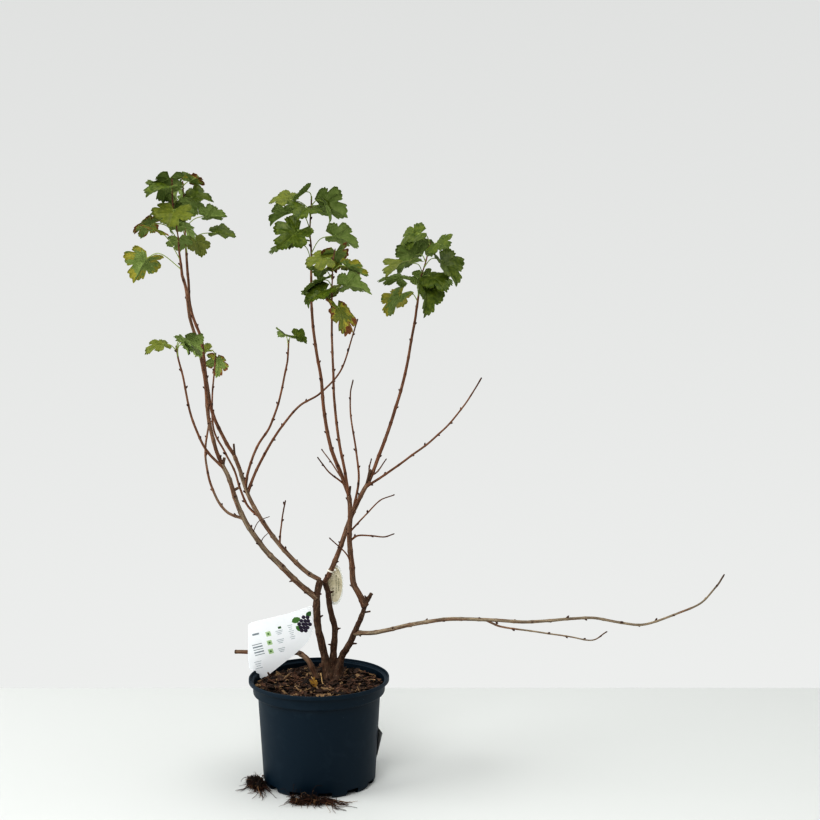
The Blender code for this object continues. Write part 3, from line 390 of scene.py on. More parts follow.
# Limbs in growing order.  Each starts on its parent at a share of the parent's length, or for
# a riser at its tip, then bends smoothly through a few points on its way to the tip.
# name, parent, share, points, root radius, tip radius, cut stubs (share, offset, radius)
LIMBS = (
    ("stem_left", 0, 1.0, ((-1, 2, 241), (-3, -3, 270), (-2, -6, 295), (3, -6, 318)),
     6.0, 5.0, ((0.97, (-3, -1, 7), 3.0),)),
    ("stem_middle", 1, 1.0, ((24, 14, 238), (18, 11, 264), (13, 8, 300), (9, 5, 312)),
     5.2, 4.0, ()),
    ("stem_right", 2, 1.0, ((46, 8, 212), (57, 4, 237), (67, 0, 262), (73, -2, 280), (82, -3, 297)),
     5.4, 3.0, ((0.70, (12, 0, 2), 1.3),)),
    ("bough_centre", "stem_right", 0.80,
     ((61, -6, 299), (54, -7, 314), (52, -9, 342), (49, -11, 382), (50, -12, 421), (48, -15, 452)),
     4.6, 3.3, ((0.98, (2, 3, 17), 1.7),)),
    ("bough_low", "stem_right", 0.38,
     ((87, -4, 235), (141, -14, 250), (203, -24, 261), (263, -33, 262), (324, -40, 261),
      (414, -48, 269), (489, -53, 260), (534, -56, 274), (578, -59, 294), (602, -63, 322),
      (611, -66, 338)),
     3.4, 1.2, ()),
    ("twig_low", "bough_low", 0.35, ((278, -38, 254), (328, -48, 248), (383, -58, 243),
                                     (415, -64, 239), (435, -72, 253)), 1.5, 0.9, ()),
    ("bough_left_outer", "stem_left", 0.75,
     ((-28, -12, 313), (-58, -18, 344), (-84, -25, 375), (-107, -32, 412), (-121, -38, 445),
      (-132, -43, 484), (-141, -46, 504)), 4.5, 3.2,
     ((0.99, (3, 0, 12), 2.2), (0.83, (9, -2, 5), 2.0))),
    ("leader_left_outer", "bough_left_outer", 1.0,
     ((-150, -50, 529), (-158, -56, 571), (-163, -62, 639), (-171, -65, 683), (-182, -68, 723),
      (-187, -72, 767), (-192, -73, 786)), 2.9, 2.1, ()),
    ("shoot_left_outer", "bough_left_outer", 0.65,
     ((-135, -38, 430), (-154, -38, 457), (-166, -34, 501), (-167, -30, 531), (-163, -20, 565),
      (-167, -8, 620)), 2.1, 1.1, ()),
    ("shoot_left_far", "bough_left_outer", 0.97,
     ((-157, -58, 520), (-172, -70, 550), (-182, -82, 587), (-189, -94, 637), (-195, -101, 666)),
     2.0, 1.3, ()),
    ("bough_left_inner", "stem_left", 1.0,
     ((-21, -2, 332), (-55, 5, 365), (-88, 11, 409), (-110, 17, 449), (-123, 20, 489),
      (-131, 21, 509)), 3.5, 2.9, ((0.99, (-1, -1, 20), 1.5),)),
    ("leader_left_inner", "bough_left_inner", 1.0,
     ((-143, 21, 529), (-163, 20, 574), (-172, 21, 625), (-180, 25, 687), (-196, 30, 733),
      (-200, 34, 779), (-202, 36, 806)), 2.7, 1.9, ()),
    ("shoot_back", "bough_left_inner", 0.56,
     ((-111, 20, 430), (-123, 28, 456), (-133, 35, 484), (-147, 40, 510), (-164, 46, 542),
      (-168, 50, 584), (-165, 58, 638), (-164, 61, 651)), 1.8, 1.2, ()),
    ("shoot_inner", "bough_left_inner", 0.78,
     ((-109, 12, 484), (-93, 4, 524), (-72, -8, 557), (-54, -20, 607), (-43, -30, 656),
      (-41, -34, 674)), 2.0, 1.3, ()),
    ("shoot_long", "bough_left_inner", 0.74,
     ((-95, 30, 489), (-61, 50, 548), (-32, 62, 582), (-1, 72, 600), (31, 80, 635),
      (50, 90, 690), (58, 94, 715)), 2.2, 1.0, ()),
    ("bough_right", "stem_middle", 1.0,
     ((25, 3, 345), (39, 4, 382), (50, 6, 413), (64, 10, 443), (78, 16, 469)), 3.9, 3.2,
     ((0.96, (5, 0, 24), 2.2),)),
    ("leader_right", "bough_right", 1.0,
     ((95, 28, 511), (118, 44, 577), (135, 58, 638), (149, 70, 716), (153, 76, 741)),
     2.8, 1.8, ()),
    ("leader_centre", "bough_centre", 1.0,
     ((36, -12, 484), (22, -8, 520), (10, -2, 578), (6, 2, 627), (-4, 6, 688), (-9, 9, 741),
      (-9, 11, 782)), 3.0, 1.8, ()),
    ("leader_front", "bough_centre", 0.96,
     ((43, -20, 485), (33, -30, 544), (28, -40, 600), (26, -52, 675), (26, -61, 729)),
     2.3, 1.5, ()),
    ("shoot_middle", "bough_right", 0.66,
     ((62, 16, 468), (58, 30, 513), (49, 44, 569), (49, 50, 603), (52, 54, 621)),
     1.9, 1.0, ()),
    ("shoot_right", "bough_right", 0.94,
     ((95, 10, 475), (141, -4, 509), (190, -22, 551), (223, -36, 592), (247, -48, 632)),
     1.9, 1.0, ()),
    ("twig_centre_front", "leader_centre", 0.05,
     ((20, -24, 487), (11, -28, 498), (3, -34, 511)), 1.3, 0.9, ()),
    ("twig_centre_back", "leader_centre", 0.07, ((20, 4, 500), (6, 16, 517)), 1.1, 0.8, ()),
    ("twig_side_upper", "bough_centre", 0.68,
     ((71, -18, 419), (96, -28, 446), (116, -36, 455)), 1.3, 0.8, ()),
    ("twig_side_lower", "bough_centre", 0.60,
     ((61, -4, 387), (80, 2, 386), (101, 12, 382), (115, 20, 385)), 1.4, 0.9, ()),
    ("twig_crossing", "bough_centre", 0.39, ((42, -17, 363), (20, -24, 386)), 1.2, 0.8, ()),
    ("twig_upright", "bough_left_inner", 0.35, ((-56, 0, 411), (-50, -5, 440)), 1.3, 1.0, ()),
    ("twig_right_back", "leader_right", 0.03, ((78, 26, 485), (81, 30, 500)), 1.2, 0.9, ()),
    ("twig_right_front", "leader_right", 0.03, ((92, 8, 486), (104, 0, 504)), 1.2, 0.8, ()),
)
# How grey each limb's film is.  Over 1 its patches run together.  Other limbs have a little.
GREY_FILM = {"bough_left_outer": 0.9, "bough_left_inner": 0.8, "bough_low": 2.0, "twig_low": 1.6,
             "leader_left_outer": 0.35, "shoot_left_outer": 0.6, "stem_left": 0.25,
             "bough_centre": 0.3, "bough_right": 0.35, "low_cut_branch": 0.5}
LITTLE_FILM = 0.15
print(len(LIMBS), "limbs above the trunk")

# %% [markdown]
# ## Buds, spurs and stubs
# A bare limb is read by what sits on it: pointed buds on their leaf scars, short dead spurs
# that end in a dark bud, and stubs with a pale end where side growth was cut.  They could be
# instanced, but the export drops instances, so each is a short tube in a joined mesh.

# %% Small growth on a limb
BARK_STRETCH = 7            # the bark's pattern is this much longer along the limb
BUD_PROFILE = ((-0.5, 0.62), (0.1, 0.76), (0.9, 0.80), (1.6, 0.58), (2.1, 0.24), (2.3, 0.04))
SPUR_RADII = (2.4, 2.0, 1.35)

wood = Batch()
buds = Batch()


def put_wood(line, radii, sides, coat, finishes=0):
    """A plain piece of wood whose bark has one age, film and darkness all over."""
    points, faces = tube(line, radii, sides)
    wood.put(points, faces, finishes, grain=[(p.x, p.y, p.z / BARK_STRETCH) for p in points],
             coat=[coat] * len(points))


def put_bud(place, along, out, size):
    """A small pointed bud that leans along its limb, on a swollen leaf scar."""
    aim = (out * 0.8 + along).normalized()
    path = [place + aim * height * size for height, _ in BUD_PROFILE]
    buds.put(*tube(path, [radius * size for _, radius in BUD_PROFILE], 7))


def put_spur(spot, out, along, radius, chance):
    """A short dead side twig, with the dark bud that ended it."""
    aim = (out + along * chance.uniform(0.0, 0.6)).normalized()
    reach = radius + chance.uniform(0.6, 3.2)
    line = [spot, spot + aim * radius, spot + aim * reach]
    put_wood(line, SPUR_RADII, 8, (0.8, 0.1, 0.45))
    put_bud(line[-1], aim, aim, chance.uniform(1.3, 1.8))


def put_stub(path, share, offset, radius):
    """A cut side branch: bark round it and a dry pale end."""
    start, _ = point_on(path, share)
    offset = Vector(offset)
    line = [start, start + offset * 0.5, start + offset * 0.93, start + offset]
    sides = 12
    finishes = [0] * (sides * (len(line) - 1) + 1) + [1]
    put_wood(line, [radius * 1.35, radius * 1.05, radius, radius * 0.86], sides,
             (0.9, 0.3, 0.0), finishes)


print("a bud is", BUD_PROFILE[-1][0], "times its size long")

# %% [markdown]
# ## Growing the wood
# A real limb isn't a clean cone.  It bends a little at each bud, swells there, and thickens
# into a collar where it leaves its parent.  Fine rings are laid along the smooth path, and
# each point is moved in or out by noise that is stretched along the limb, as splits in bark
# are.  Buds sit on the swellings in a spiral, and thick limbs have spurs in place of some.

# %% One limb with its relief, nodes and buds
RING_STEP = 2.2
NODE_SPACING = 27.0
NODE_SWELL = 0.16
NODE_LENGTH = 2.4
FIRST_NODE, LAST_NODE = 8.1, 4   # mm from root and tip where buds start and stop
COLLAR = 0.35
COLLAR_REACH = 8.0
WOBBLE = 0.8                # mm that the line strays between buds
WOBBLE_LENGTH = 34.0
WOBBLE_SEED = 4             # without one, the vector noise would start from the clock
CALM_REACH = 15             # mm at each end where it strays less
DARK_TIP, DARK_TIP_REACH = 0.7, 45   # how dark a bare tip is, and over how many mm
GOLDEN_TURN = 137.5
OLD_RADIUS = 7.0            # a limb this thick has fully old bark
YOUNG_RADIUS = 1.6
SPUR_LIMB_RADIUS, SPUR_SHARE = 3.4, 0.4
THICK_RADIUS, THICK_SIDES, THIN_SIDES = 2.6, 16, 11

noise.seed_set(WOBBLE_SEED)


def bark_relief(turn_x, turn_y, run, radius, age):
    """How far a point of the bark stands out, in mm."""
    spot = Vector((turn_x * radius, turn_y * radius, run / BARK_STRETCH))
    split = noise.noise(spot * 0.55)
    lump = noise.noise(Vector((turn_x * radius, turn_y * radius, run / 2)) * 0.14)
    return radius * ((0.05 + 0.10 * age) * split + 0.12 * age * lump)


def round_limb(along, degrees):
    """The direction out of a limb at a turn round it."""
    turn = math.radians(degrees)
    side = along.orthogonal().normalized()
    return side * math.cos(turn) + along.cross(side) * math.sin(turn)


def grow_limb(name, path, root_radius, tip_radius, collar, dark_tip, seed):
    """Adds one limb with its bark and its buds."""
    chance = random.Random(seed)
    total = length_of(path)
    sides = THICK_SIDES if root_radius > THICK_RADIUS else THIN_SIDES
    drift = Vector([chance.uniform(0, 90) for _ in range(3)])
    first_node = chance.uniform(0.3, 0.8) * NODE_SPACING
    first_turn = chance.uniform(0, 360)
    film = GREY_FILM.get(name, LITTLE_FILM)
    centres, radii, runs = [], [], []
    run = 0.0
    for i, spot in enumerate(path):
        if i:
            run += (spot - path[i - 1]).length
        calm = min(1.0, run / CALM_REACH, (total - run) / CALM_REACH)
        stray = noise.noise_vector(drift + Vector((0, 0, run / WOBBLE_LENGTH)))
        centres.append(spot + stray * WOBBLE * max(calm, 0.0))
        radius = root_radius + (tip_radius - root_radius) * run / total
        radius *= 1 + collar * math.exp(-run / COLLAR_REACH)
        near = (run - first_node + NODE_SPACING / 2) % NODE_SPACING - NODE_SPACING / 2
        if run > FIRST_NODE:
            radius *= 1 + NODE_SWELL * math.exp(-(near / NODE_LENGTH) ** 2)
        radii.append(radius)
        runs.append(run)
    points, faces = tube(centres, radii, sides)
    grain, coat = [], []
    for i, centre in enumerate(centres):
        age = min(max((radii[i] - YOUNG_RADIUS) / (OLD_RADIUS - YOUNG_RADIUS), 0.0), 1.0)
        tip = dark_tip * max(0.0, 1 - (total - runs[i]) / DARK_TIP_REACH)
        for k in range(sides):
            index = i * sides + k
            out = (points[index] - centre).normalized()
            turn = 2 * math.pi * k / sides
            x, y = math.cos(turn), math.sin(turn)
            points[index] += out * bark_relief(x, y, runs[i] + drift.x, radii[i], age)
            grain.append((x * radii[i] + drift.x, y * radii[i] + drift.y,
                          runs[i] / BARK_STRETCH))
            coat.append((age, film, tip))
    wood.put(points, faces, grain=grain, coat=coat)
    count = int((total - first_node) / NODE_SPACING) + 1
    for j in range(count):
        run = first_node + j * NODE_SPACING
        if run < FIRST_NODE or run > total - LAST_NODE:
            continue
        spot, along = point_on(path, run / total)
        out = round_limb(along, first_turn + GOLDEN_TURN * j)
        radius = root_radius + (tip_radius - root_radius) * run / total
        if root_radius > SPUR_LIMB_RADIUS and chance.random() < SPUR_SHARE:
            put_spur(spot, out, along, radius, chance)
        else:
            put_bud(spot + out * radius, along, out, chance.uniform(1.2, 1.9))


print("rings every", RING_STEP, "mm and buds every", NODE_SPACING, "mm")

# %% [markdown]
# ## Trunk and stems in one skin
# Where the stems leave the crown the wood is one body, with soft webs between them.  Separate
# tubes would show hard creases there, so the risers and the stems are gathered, remeshed as one
# skin with small cells, and smoothed.  Bark furrows are then pushed in along the limbs.

# %% Gather the trunk and the stems
VOXEL = 0.0008              # m
WEB_SMOOTHING = 6
STEMS = ("stem_left", "stem_middle", "stem_right")
limb_paths = {}


def riser_path(tip):
    foot = TRUNK_FOOT.copy()
    foot.x += (tip.x - foot.x) * FOOT_SPREAD
    foot.y += (tip.y - foot.y) * FOOT_SPREAD
    return [foot.lerp(tip, share) for share in (0, 0.08, 0.2, 0.4, 0.7, 1)]


def riser_radii(radius, tip_radius, path):
    radii = []
    for centre in path:
        share = (centre - path[0]).length / (path[-1] - path[0]).length
        flare = 1 + FLARE * math.exp(-(centre.z - path[0].z) / FLARE_REACH)
        radii.append((radius + (tip_radius - radius) * share) * flare / (1 + FLARE * 0.25))
    return radii


def limb_path(parent, share, points, spacing):
    source = riser_path(RISERS[parent][0]) if isinstance(parent, int) else limb_paths[parent]
    start, _ = point_on(source, share)
    return smooth_path([start] + [Vector(p) for p in points], spacing)


raw = Batch()
for tip, radius, tip_radius in RISERS:
    path = riser_path(tip)
    raw.put(*tube(path, riser_radii(radius, tip_radius, path), 24))
for name, parent, share, points, root, tip, _ in LIMBS:
    limb_paths[name] = limb_path(parent, share, points, 24.0)
    if name in STEMS:
        path = limb_path(parent, share, points, 6.0)
        total = length_of(path)
        radii = [root + (tip - root) * length_of(path[:i + 1]) / total for i in range(len(path))]
        raw.put(*tube(path, radii, 20))
print(len(raw.faces), "rough faces in", len(STEMS), "stems and their crown")

# %% [markdown]
# ## Bark on the trunk
# Blender's voxel remesh joins the tubes into one closed skin and a smooth modifier softens the
# webs.  Then each point moves along its normal: narrow furrows run up the wood, and broad lumps
# grow towards the foot, where the crown is oldest.

# %% Remesh, smooth and furrow
FURROW = 0.75               # mm
LUMP = 1.0                  # mm
LUMPS_RISE = 30             # mm over which the lumps fade above the foot
TRUNK_STRETCH = 2.5         # its bark's pattern is this much longer upwards
OLD_COAT = (1.0, 0.18, 0.0)   # age, film, darkness

raw_mesh = bpy.data.meshes.new("raw_wood")
raw_mesh.from_pydata([p * MM for p in raw.points], [], raw.faces)
raw_wood = bpy.data.objects.new("raw_wood", raw_mesh)
bpy.context.scene.collection.objects.link(raw_wood)
skin = raw_wood.modifiers.new("one skin", "REMESH")
skin.mode = "VOXEL"
skin.voxel_size = VOXEL
smooth = raw_wood.modifiers.new("soft webs", "SMOOTH")
smooth.iterations = WEB_SMOOTHING
graph = bpy.context.evaluated_depsgraph_get()
skinned = bpy.data.meshes.new_from_object(raw_wood.evaluated_get(graph))
bpy.data.objects.remove(raw_wood, do_unlink=True)

old_wood = Batch()
spots, grain = [], []
for vert in skinned.vertices:
    spot = vert.co / MM
    stretched = Vector((spot.x, spot.y, spot.z / 6))
    low = math.exp(-(spot.z - TRUNK_FOOT.z) / LUMPS_RISE)
    push = FURROW * noise.noise(stretched * 0.42) + LUMP * (0.5 + low) * noise.noise(spot * 0.11)
    spots.append(spot + vert.normal * push)
    grain.append((spot.x, spot.y, spot.z / TRUNK_STRETCH))
old_wood.put(spots, [tuple(face.vertices) for face in skinned.polygons], grain=grain,
             coat=[OLD_COAT] * len(spots))
old_wood.make("trunk_and_stems", [bark], "bark", ["trunk", *STEMS])

# %% [markdown]
# ## Spurs on the stems
# The old stems still carry what is left of their first side shoots.  They are dealt up each
# stem at uneven steps, and turned round it by the golden angle as buds are.

# %% Spurs on the stems
SPUR_SPACING = 21.0
SPURS_FROM, SPURS_TO = 8.0, 6
for order, name in enumerate(STEMS):
    root, tip = next(row[4:6] for row in LIMBS if row[0] == name)
    path = limb_paths[name]
    total = length_of(path)
    chance = random.Random(order + 31)
    run = SPURS_FROM
    while run < total - SPURS_TO:
        spot, along = point_on(path, run / total)
        out = round_limb(along, GOLDEN_TURN * run / SPUR_SPACING + 80 * order)
        put_spur(spot, out, along, root + (tip - root) * run / total, chance)
        run += SPUR_SPACING * chance.uniform(0.6, 1.3)
print(len(buds.faces), "faces of buds so far")

# %% [markdown]
# ## Boughs, leaders, shoots and twigs
# The rest of the table is grown in order, from thick to thin.  The long bough on the right was
# cut back to bare wood at its foot and carries a bud every few centimetres.  The branch that
# was sawn off low down rises from the mulch beside the trunk, and passes behind the label.

# %% Grow the other limbs
BARE_TIPS = ("twig", "shoot_long", "shoot_middle", "shoot_right", "shoot_left_outer", "bough_low")
CUT_BRANCH = ((-3, 9, 157.3), (-16, 13, 183), (-26, 19, 192), (-37, 24, 196), (-79, 27, 196),
              (-133, 32, 195))

limb_ends = {}
for order, (name, parent, share, points, root, tip, cuts) in enumerate(LIMBS):
    if name not in STEMS:
        path = limb_path(parent, share, points, RING_STEP)
        bare_tip = name.startswith(BARE_TIPS)
        grow_limb(name, path, root, tip, 0.0 if share == 1.0 else COLLAR,
                  DARK_TIP if bare_tip else 0.0, order + 3)
        if bare_tip:
            along = (path[-1] - path[-2]).normalized()
            put_bud(path[-1], along, along, 1.3)
    limb_ends[name] = (limb_paths[name], tip)
    for cut_share, offset, radius in cuts:
        put_stub(limb_paths[name], cut_share, offset, radius)
cut_path = smooth_path([Vector(p) for p in CUT_BRANCH], RING_STEP)
grow_limb("low_cut_branch", cut_path, 4.6, 2.9, 0.1, 0.0, 71)
put_stub(cut_path, 1.0, (-2.0, 0.1, 0.0), 2.7)
others = [row[0] for row in LIMBS if row[0] not in STEMS] + ["low_cut_branch"]
print(len(others), "limbs grown")

# %% [markdown]
# ## Leaves
# A jostaberry leaf is palmate: five lobes, the middle one longest, with blunt teeth, a heart at
# the stalk, five main veins and a quilted surface between them.  A flat card with a picture of
# a leaf would look right only from the front.  Here the outline is worked out from the lobes,
# the blade is filled with rings of points, and each point is lowered along the veins and raised
# between them.  Each blade has an upper and a lower skin, which differ in colour and in gloss.

# %% The outline of a leaf
LOBES = ((0, 1.0, 20), (52, 0.86, 17), (104, 0.62, 20))
TIP_SHOULDER = 0.94
SIDE_SHOULDERS = (0.96, 0.95)
SINUS = 0.88
BASE_LOBE = (148, 0.38)
LEAF_NOTCH = -0.02
LEAF_HEART = 0.2
DEEPEST_SINUS = 0.72        # some leaves are cut deeper between their lobes
TEETH = 14                  # on each half of the edge
TOOTH_DEPTH = 0.085
EDGE_STEPS = 7 * TEETH      # points on each half of the edge
RINGS = 6
BLADE_THICKNESS = 0.3


def lobe_table(sinus):
    table = [(0, LOBES[0][1]), (LOBES[0][2], LOBES[0][1] * TIP_SHOULDER)]
    for inner, outer in zip(LOBES, LOBES[1:]):
        dip = (inner[0] + inner[2] + outer[0] - outer[2]) / 2
        table.append((dip, min(inner[1], outer[1]) * sinus))
        table.append((outer[0] - outer[2], outer[1] * SIDE_SHOULDERS[0]))
        table.append((outer[0], outer[1]))
        table.append((outer[0] + outer[2], outer[1] * SIDE_SHOULDERS[1]))
    table[-1] = BASE_LOBE
    return table


def edge_reach(turn, table):
    """How far the blade reaches in a direction, with its round teeth cut in."""
    for (a, low), (b, high) in zip(table, table[1:]):
        if turn <= b:
            t = (turn - a) / (b - a)
            reach = low + (high - low) * t * t * (3 - 2 * t)
            tooth = abs(math.cos(math.pi * turn * TEETH / BASE_LOBE[0])) ** 0.6
            return reach * (1 - TOOTH_DEPTH * (1 - tooth))
    return table[-1][1]


def leaf_edge(sinus):
    table = lobe_table(sinus)
    half = []
    for k in range(EDGE_STEPS + 1):
        turn = BASE_LOBE[0] * k / EDGE_STEPS
        reach = edge_reach(turn, table)
        angle = math.radians(turn)
        half.append((reach * math.cos(angle), reach * math.sin(angle)))
    return half + [(LEAF_NOTCH, 0.0)] + [(u, -v) for u, v in reversed(half[1:])]


print("a leaf's edge has", len(leaf_edge(SINUS)), "points")

# %% [markdown]
# ## How the leaves are dealt out
# Leaves leave a shoot in a spiral of about 137 degrees.  Every leafy end is dealt by one rule
# from a seed: where each stalk starts and bends, and how its blade hangs, folds and curls.  The
# solids were made by the same rule, so each fine leaf lies over its plain one.  The table says
# for each end how many leaves it has, their size, the stalks' length, and which way they face.

# %% The table of leafy ends and the rule
LEAFY_ENDS = (
    ("leaves_left_outer_low", "leader_left_outer", ((-195, -76, 822), (-196, -77, 840)),
     4, 38, 60, 180, 110, 4172),
    ("leaves_left_outer_top", "leaves_left_outer_low", ((-202, -81, 884), (-203, -83, 924)),
     6, 44, 26, 180, 140, 741),
    ("leaves_left_inner_low", "leader_left_inner", ((-205, 40, 845), (-205, 42, 865)),
     4, 36, 54, 0, 110, 1211),
    ("leaves_left_inner_top", "leaves_left_inner_low", ((-206, 44, 897), (-208, 45, 928)),
     5, 38, 24, 0, 180, 3135),
    ("leaves_centre_low", "leader_centre", ((-9, 13, 824), (-11, 14, 851)),
     3, 48, 46, 180, 180, 3928),
    ("leaves_centre_top", "leaves_centre_low", ((-9, 15, 885), (-8, 16, 903)),
     6, 40, 40, 180, 180, 134),
    ("leaves_front_low", "leader_front", ((27, -68, 772),), 5, 44, 26, 0, 180, 4160),
    ("leaves_front_top", "leaves_front_low", ((29, -74, 805), (32, -76, 822)),
     4, 42, 22, 0, 180, 628),
    ("leaves_right_low", "leader_right", ((159, 82, 785),), 6, 42, 36, 0, 180, 3456),
    ("leaves_right_top", "leaves_right_low", ((167, 87, 810), (173, 90, 837)),
     6, 44, 42, 0, 180, 2105),
    ("leaves_left_far", "shoot_left_far", ((-197, -104, 682),), 4, 32, 32, 180, 180, 1401),
    ("leaves_inner", "shoot_inner", ((-40, -35, 688),), 2, 26, 20, 180, 180, 2106),
    ("leaves_back", "shoot_back", ((-163, 62, 663),), 2, 27, 18, 180, 180, 2451),
)
SHOOT_TIP_RADIUS = 1.0
TIP_LEAF = 0.8
TIP_PETIOLE = 0.6


def heading(turn, rise):
    turn, rise = math.radians(turn), math.radians(rise)
    return Vector((math.cos(turn) * math.cos(rise), math.sin(turn) * math.cos(rise),
                   math.sin(rise)))


class Leaf:
    """One leaf of the rule: where its stalk starts and bends, and how its blade lies."""

    def __init__(self, root, bend, junction, midrib, across, normal, size, fold, curl):
        self.root = root
        self.bend = bend
        self.junction = junction
        self.midrib = midrib
        self.across = across
        self.normal = normal
        self.size = size
        self.fold = fold
        self.curl = curl

    def spot(self, along, side, lift=0.0):
        lift += self.fold * abs(side) - self.curl * along * along
        offset = self.midrib * along + self.across * side + self.normal * lift
        return self.junction + offset * self.size


def deal_leaves(path, count, size, stalk, facing, spread, seed):
    """The leaves of one leafy end, from a golden-angle spiral with seeded chance."""
    chance = random.Random(seed)
    first = chance.uniform(0, 360)
    hand = chance.choice((-1, 1))
    leaves = []
    for i in range(count):
        share = (i + 0.6) / count
        root, _ = point_on(path, min(1.0, share))
        turn = (first + hand * GOLDEN_TURN * i + chance.uniform(-30, 30)) % 360 - 180
        out = facing + turn * spread / 180
        reach = stalk * (1 + (TIP_PETIOLE - 1) * share) * chance.uniform(0.65, 1.35)
        rise = chance.uniform(5, 60)
        blade = size * (1 + (TIP_LEAF - 1) * share) * chance.uniform(0.8, 1.2)
        points_to = out + chance.uniform(-35, 35)
        pitch = chance.uniform(-60, 15)
        roll = chance.uniform(-40, 40)
        fold = chance.uniform(-0.1, 0.5)
        curl = chance.uniform(0.05, 0.5)
        bend = root + heading(out, rise + 20) * reach * 0.55
        junction = bend + heading(points_to, (rise + pitch) / 2) * reach * 0.45
        midrib = heading(points_to, pitch)
        across = midrib.cross(UP).normalized()
        normal = across.cross(midrib)
        spin = math.radians(roll)
        rolled = across * math.cos(spin) + normal * math.sin(spin)
        normal = normal * math.cos(spin) - across * math.sin(spin)
        leaves.append(Leaf(root, bend, junction, midrib, rolled, normal, blade, fold, curl))
    return leaves


print(sum(row[3] for row in LEAFY_ENDS), "leaves on", len(LEAFY_ENDS), "leafy ends")

# %% [markdown]
# ## Living, yellowing and scorched leaves
# It is late in the season, so some blades are yellowing and a few have brown dead edges.  The
# upper skin is smooth, waxy and deep green, and the lower skin is paler and dull.  Tints are
# plain colours dealt out by leaf and by place on the blade, and the shader only mottles each
# one a little, as cells of different age do.

# %% Leaf finishes
MOTTLE_SIZE, CELL_SIZE = 6.0, 0.9   # mm, the cells drawn coarser than real so that they show
LEAF_RELIEF = 0.00025       # m


def leaf_skin(name, colour, mottle, roughness):
    made, tree, shader = surface(name, colour, roughness, 1.42)
    place = add(tree, "ShaderNodeTexCoord").outputs["Object"]
    mottles = add(tree, "ShaderNodeTexNoise", {"Vector": place, "Scale": 1 / (MOTTLE_SIZE * MM),
                                               "Detail": 4.0, "Roughness": 0.6})
    spread = add(tree, "ShaderNodeMapRange", {"Value": mottles.outputs["Fac"], "From Min": 0.35,
                                              "From Max": 0.68})
    mixed = add(tree, "ShaderNodeMix", {"Factor": spread.outputs["Result"],
                                        6: linear(colour), 7: linear(mottle)},
                data_type="RGBA")
    tree.links.new(mixed.outputs[2], shader.inputs["Base Color"])
    cells = add(tree, "ShaderNodeTexNoise", {"Vector": place, "Scale": 1 / (CELL_SIZE * MM),
                                             "Detail": 2.0})
    bump = add(tree, "ShaderNodeBump", {"Height": cells.outputs["Fac"], "Strength": 0.35,
                                        "Distance": LEAF_RELIEF})
    tree.links.new(bump.outputs["Normal"], shader.inputs["Normal"])
    return made


GREEN, PALE, UNDER, YELLOW, BROWN = range(5)
leaf_finishes = [
    leaf_skin("leaf upper skin", "#425414", "#69752a", 0.45),
    leaf_skin("leaf upper skin pale", "#5e6826", "#7c8236", 0.5),
    leaf_skin("leaf under skin", "#6f8242", "#87965a", 0.75),
    leaf_skin("leaf yellowing skin", "#a39a3c", "#8c8d3a", 0.6),
    leaf_skin("leaf scorched skin", "#6b4326", "#8a5f35", 0.8),
]
vein_skin = surface("leaf vein", "#93a560", 0.6, 1.42)[0]
stalk_skin = surface("leaf stalk", "#8c9a55", 0.55, 1.42)[0]

# What state each leaf of an end is in: g green, p pale, y yellowing, s scorched.
LEAF_STATES = {
    "leaves_left_outer_low": "ysgs", "leaves_left_outer_top": "gpgggg",
    "leaves_left_inner_low": "pggg", "leaves_left_inner_top": "ggggs",
    "leaves_centre_low": "gpg", "leaves_centre_top": "gggpgg",
    "leaves_front_low": "spggp", "leaves_front_top": "pyps",
    "leaves_right_low": "yggggg", "leaves_right_top": "pggggg",
    "leaves_left_far": "ggpg", "leaves_inner": "gg", "leaves_back": "sp",
}
print(len(leaf_finishes), "leaf finishes for", sum(map(len, LEAF_STATES.values())), "leaves")

# %% [markdown]
# ## How a blade bends
# No blade is flat.  It dips along the veins, quilts between them, droops and waves towards its
# edge, and each leaf does so in its own way.  A displacement map could say it, but a function
# of the place on the blade is exact, and the veins ask the same function where to lie.

# %% Relief and tints of a blade
VEIN_LINES = [(math.radians(turn) * hand, reach) for turn, reach, _ in LOBES
              for hand in ((1,) if turn == 0 else (1, -1))]
VEIN_DIP, VEIN_WIDTH = 0.022, 0.045   # these five in leaf lengths
SIDE_VEIN_SPACING = 0.15
QUILT, SWELL = 0.008, 0.012


def vein_relief(u, v):
    """The blade dips along its veins and swells between them, in leaf lengths."""
    lift = 0.0
    nearest = 9.0
    for angle, _ in VEIN_LINES:
        along = u * math.cos(angle) + v * math.sin(angle)
        off = abs(v * math.cos(angle) - u * math.sin(angle))
        if along > 0 and off < nearest:
            nearest = off
            phase = (along - off * 0.9) / SIDE_VEIN_SPACING
            lift = QUILT * (1 - math.cos(2 * math.pi * phase)) * min(1.0, off / 0.08)
    dip = VEIN_DIP * math.exp(-(nearest / VEIN_WIDTH) ** 2)
    return lift - dip + SWELL * min(1.0, nearest / 0.15)


def blade_lift(u, v, drift):
    """How far a spot of one blade stands off its flat shape, in leaf lengths."""
    out = math.hypot(u - LEAF_HEART, v)
    wave = noise.noise(Vector((u * 2.4, v * 2.4, drift)))
    droop = 0.12 + 0.22 * noise.noise(Vector((drift, 3.5, 1.5)))
    ruffle = math.sin(11 * math.atan2(v, u - LEAF_HEART) + drift)
    return vein_relief(u, v) + 0.16 * out * wave - droop * out * out + 0.022 * out ** 3 * ruffle


def skin_of(state, t, u, v, drift):
    """Which upper skin a spot of a blade has, by its state and its place."""
    chance = noise.noise(Vector((u * 3.1, v * 3.1, drift))) + 0.6 * noise.noise(
        Vector((u * 9, v * 9, drift + 7)))
    if state == "s" and t + chance * 0.35 > 0.88:
        return BROWN
    if state in "sy" and t + chance * 0.7 > 0.78:
        return YELLOW
    if state in "syp":
        return PALE
    return GREEN


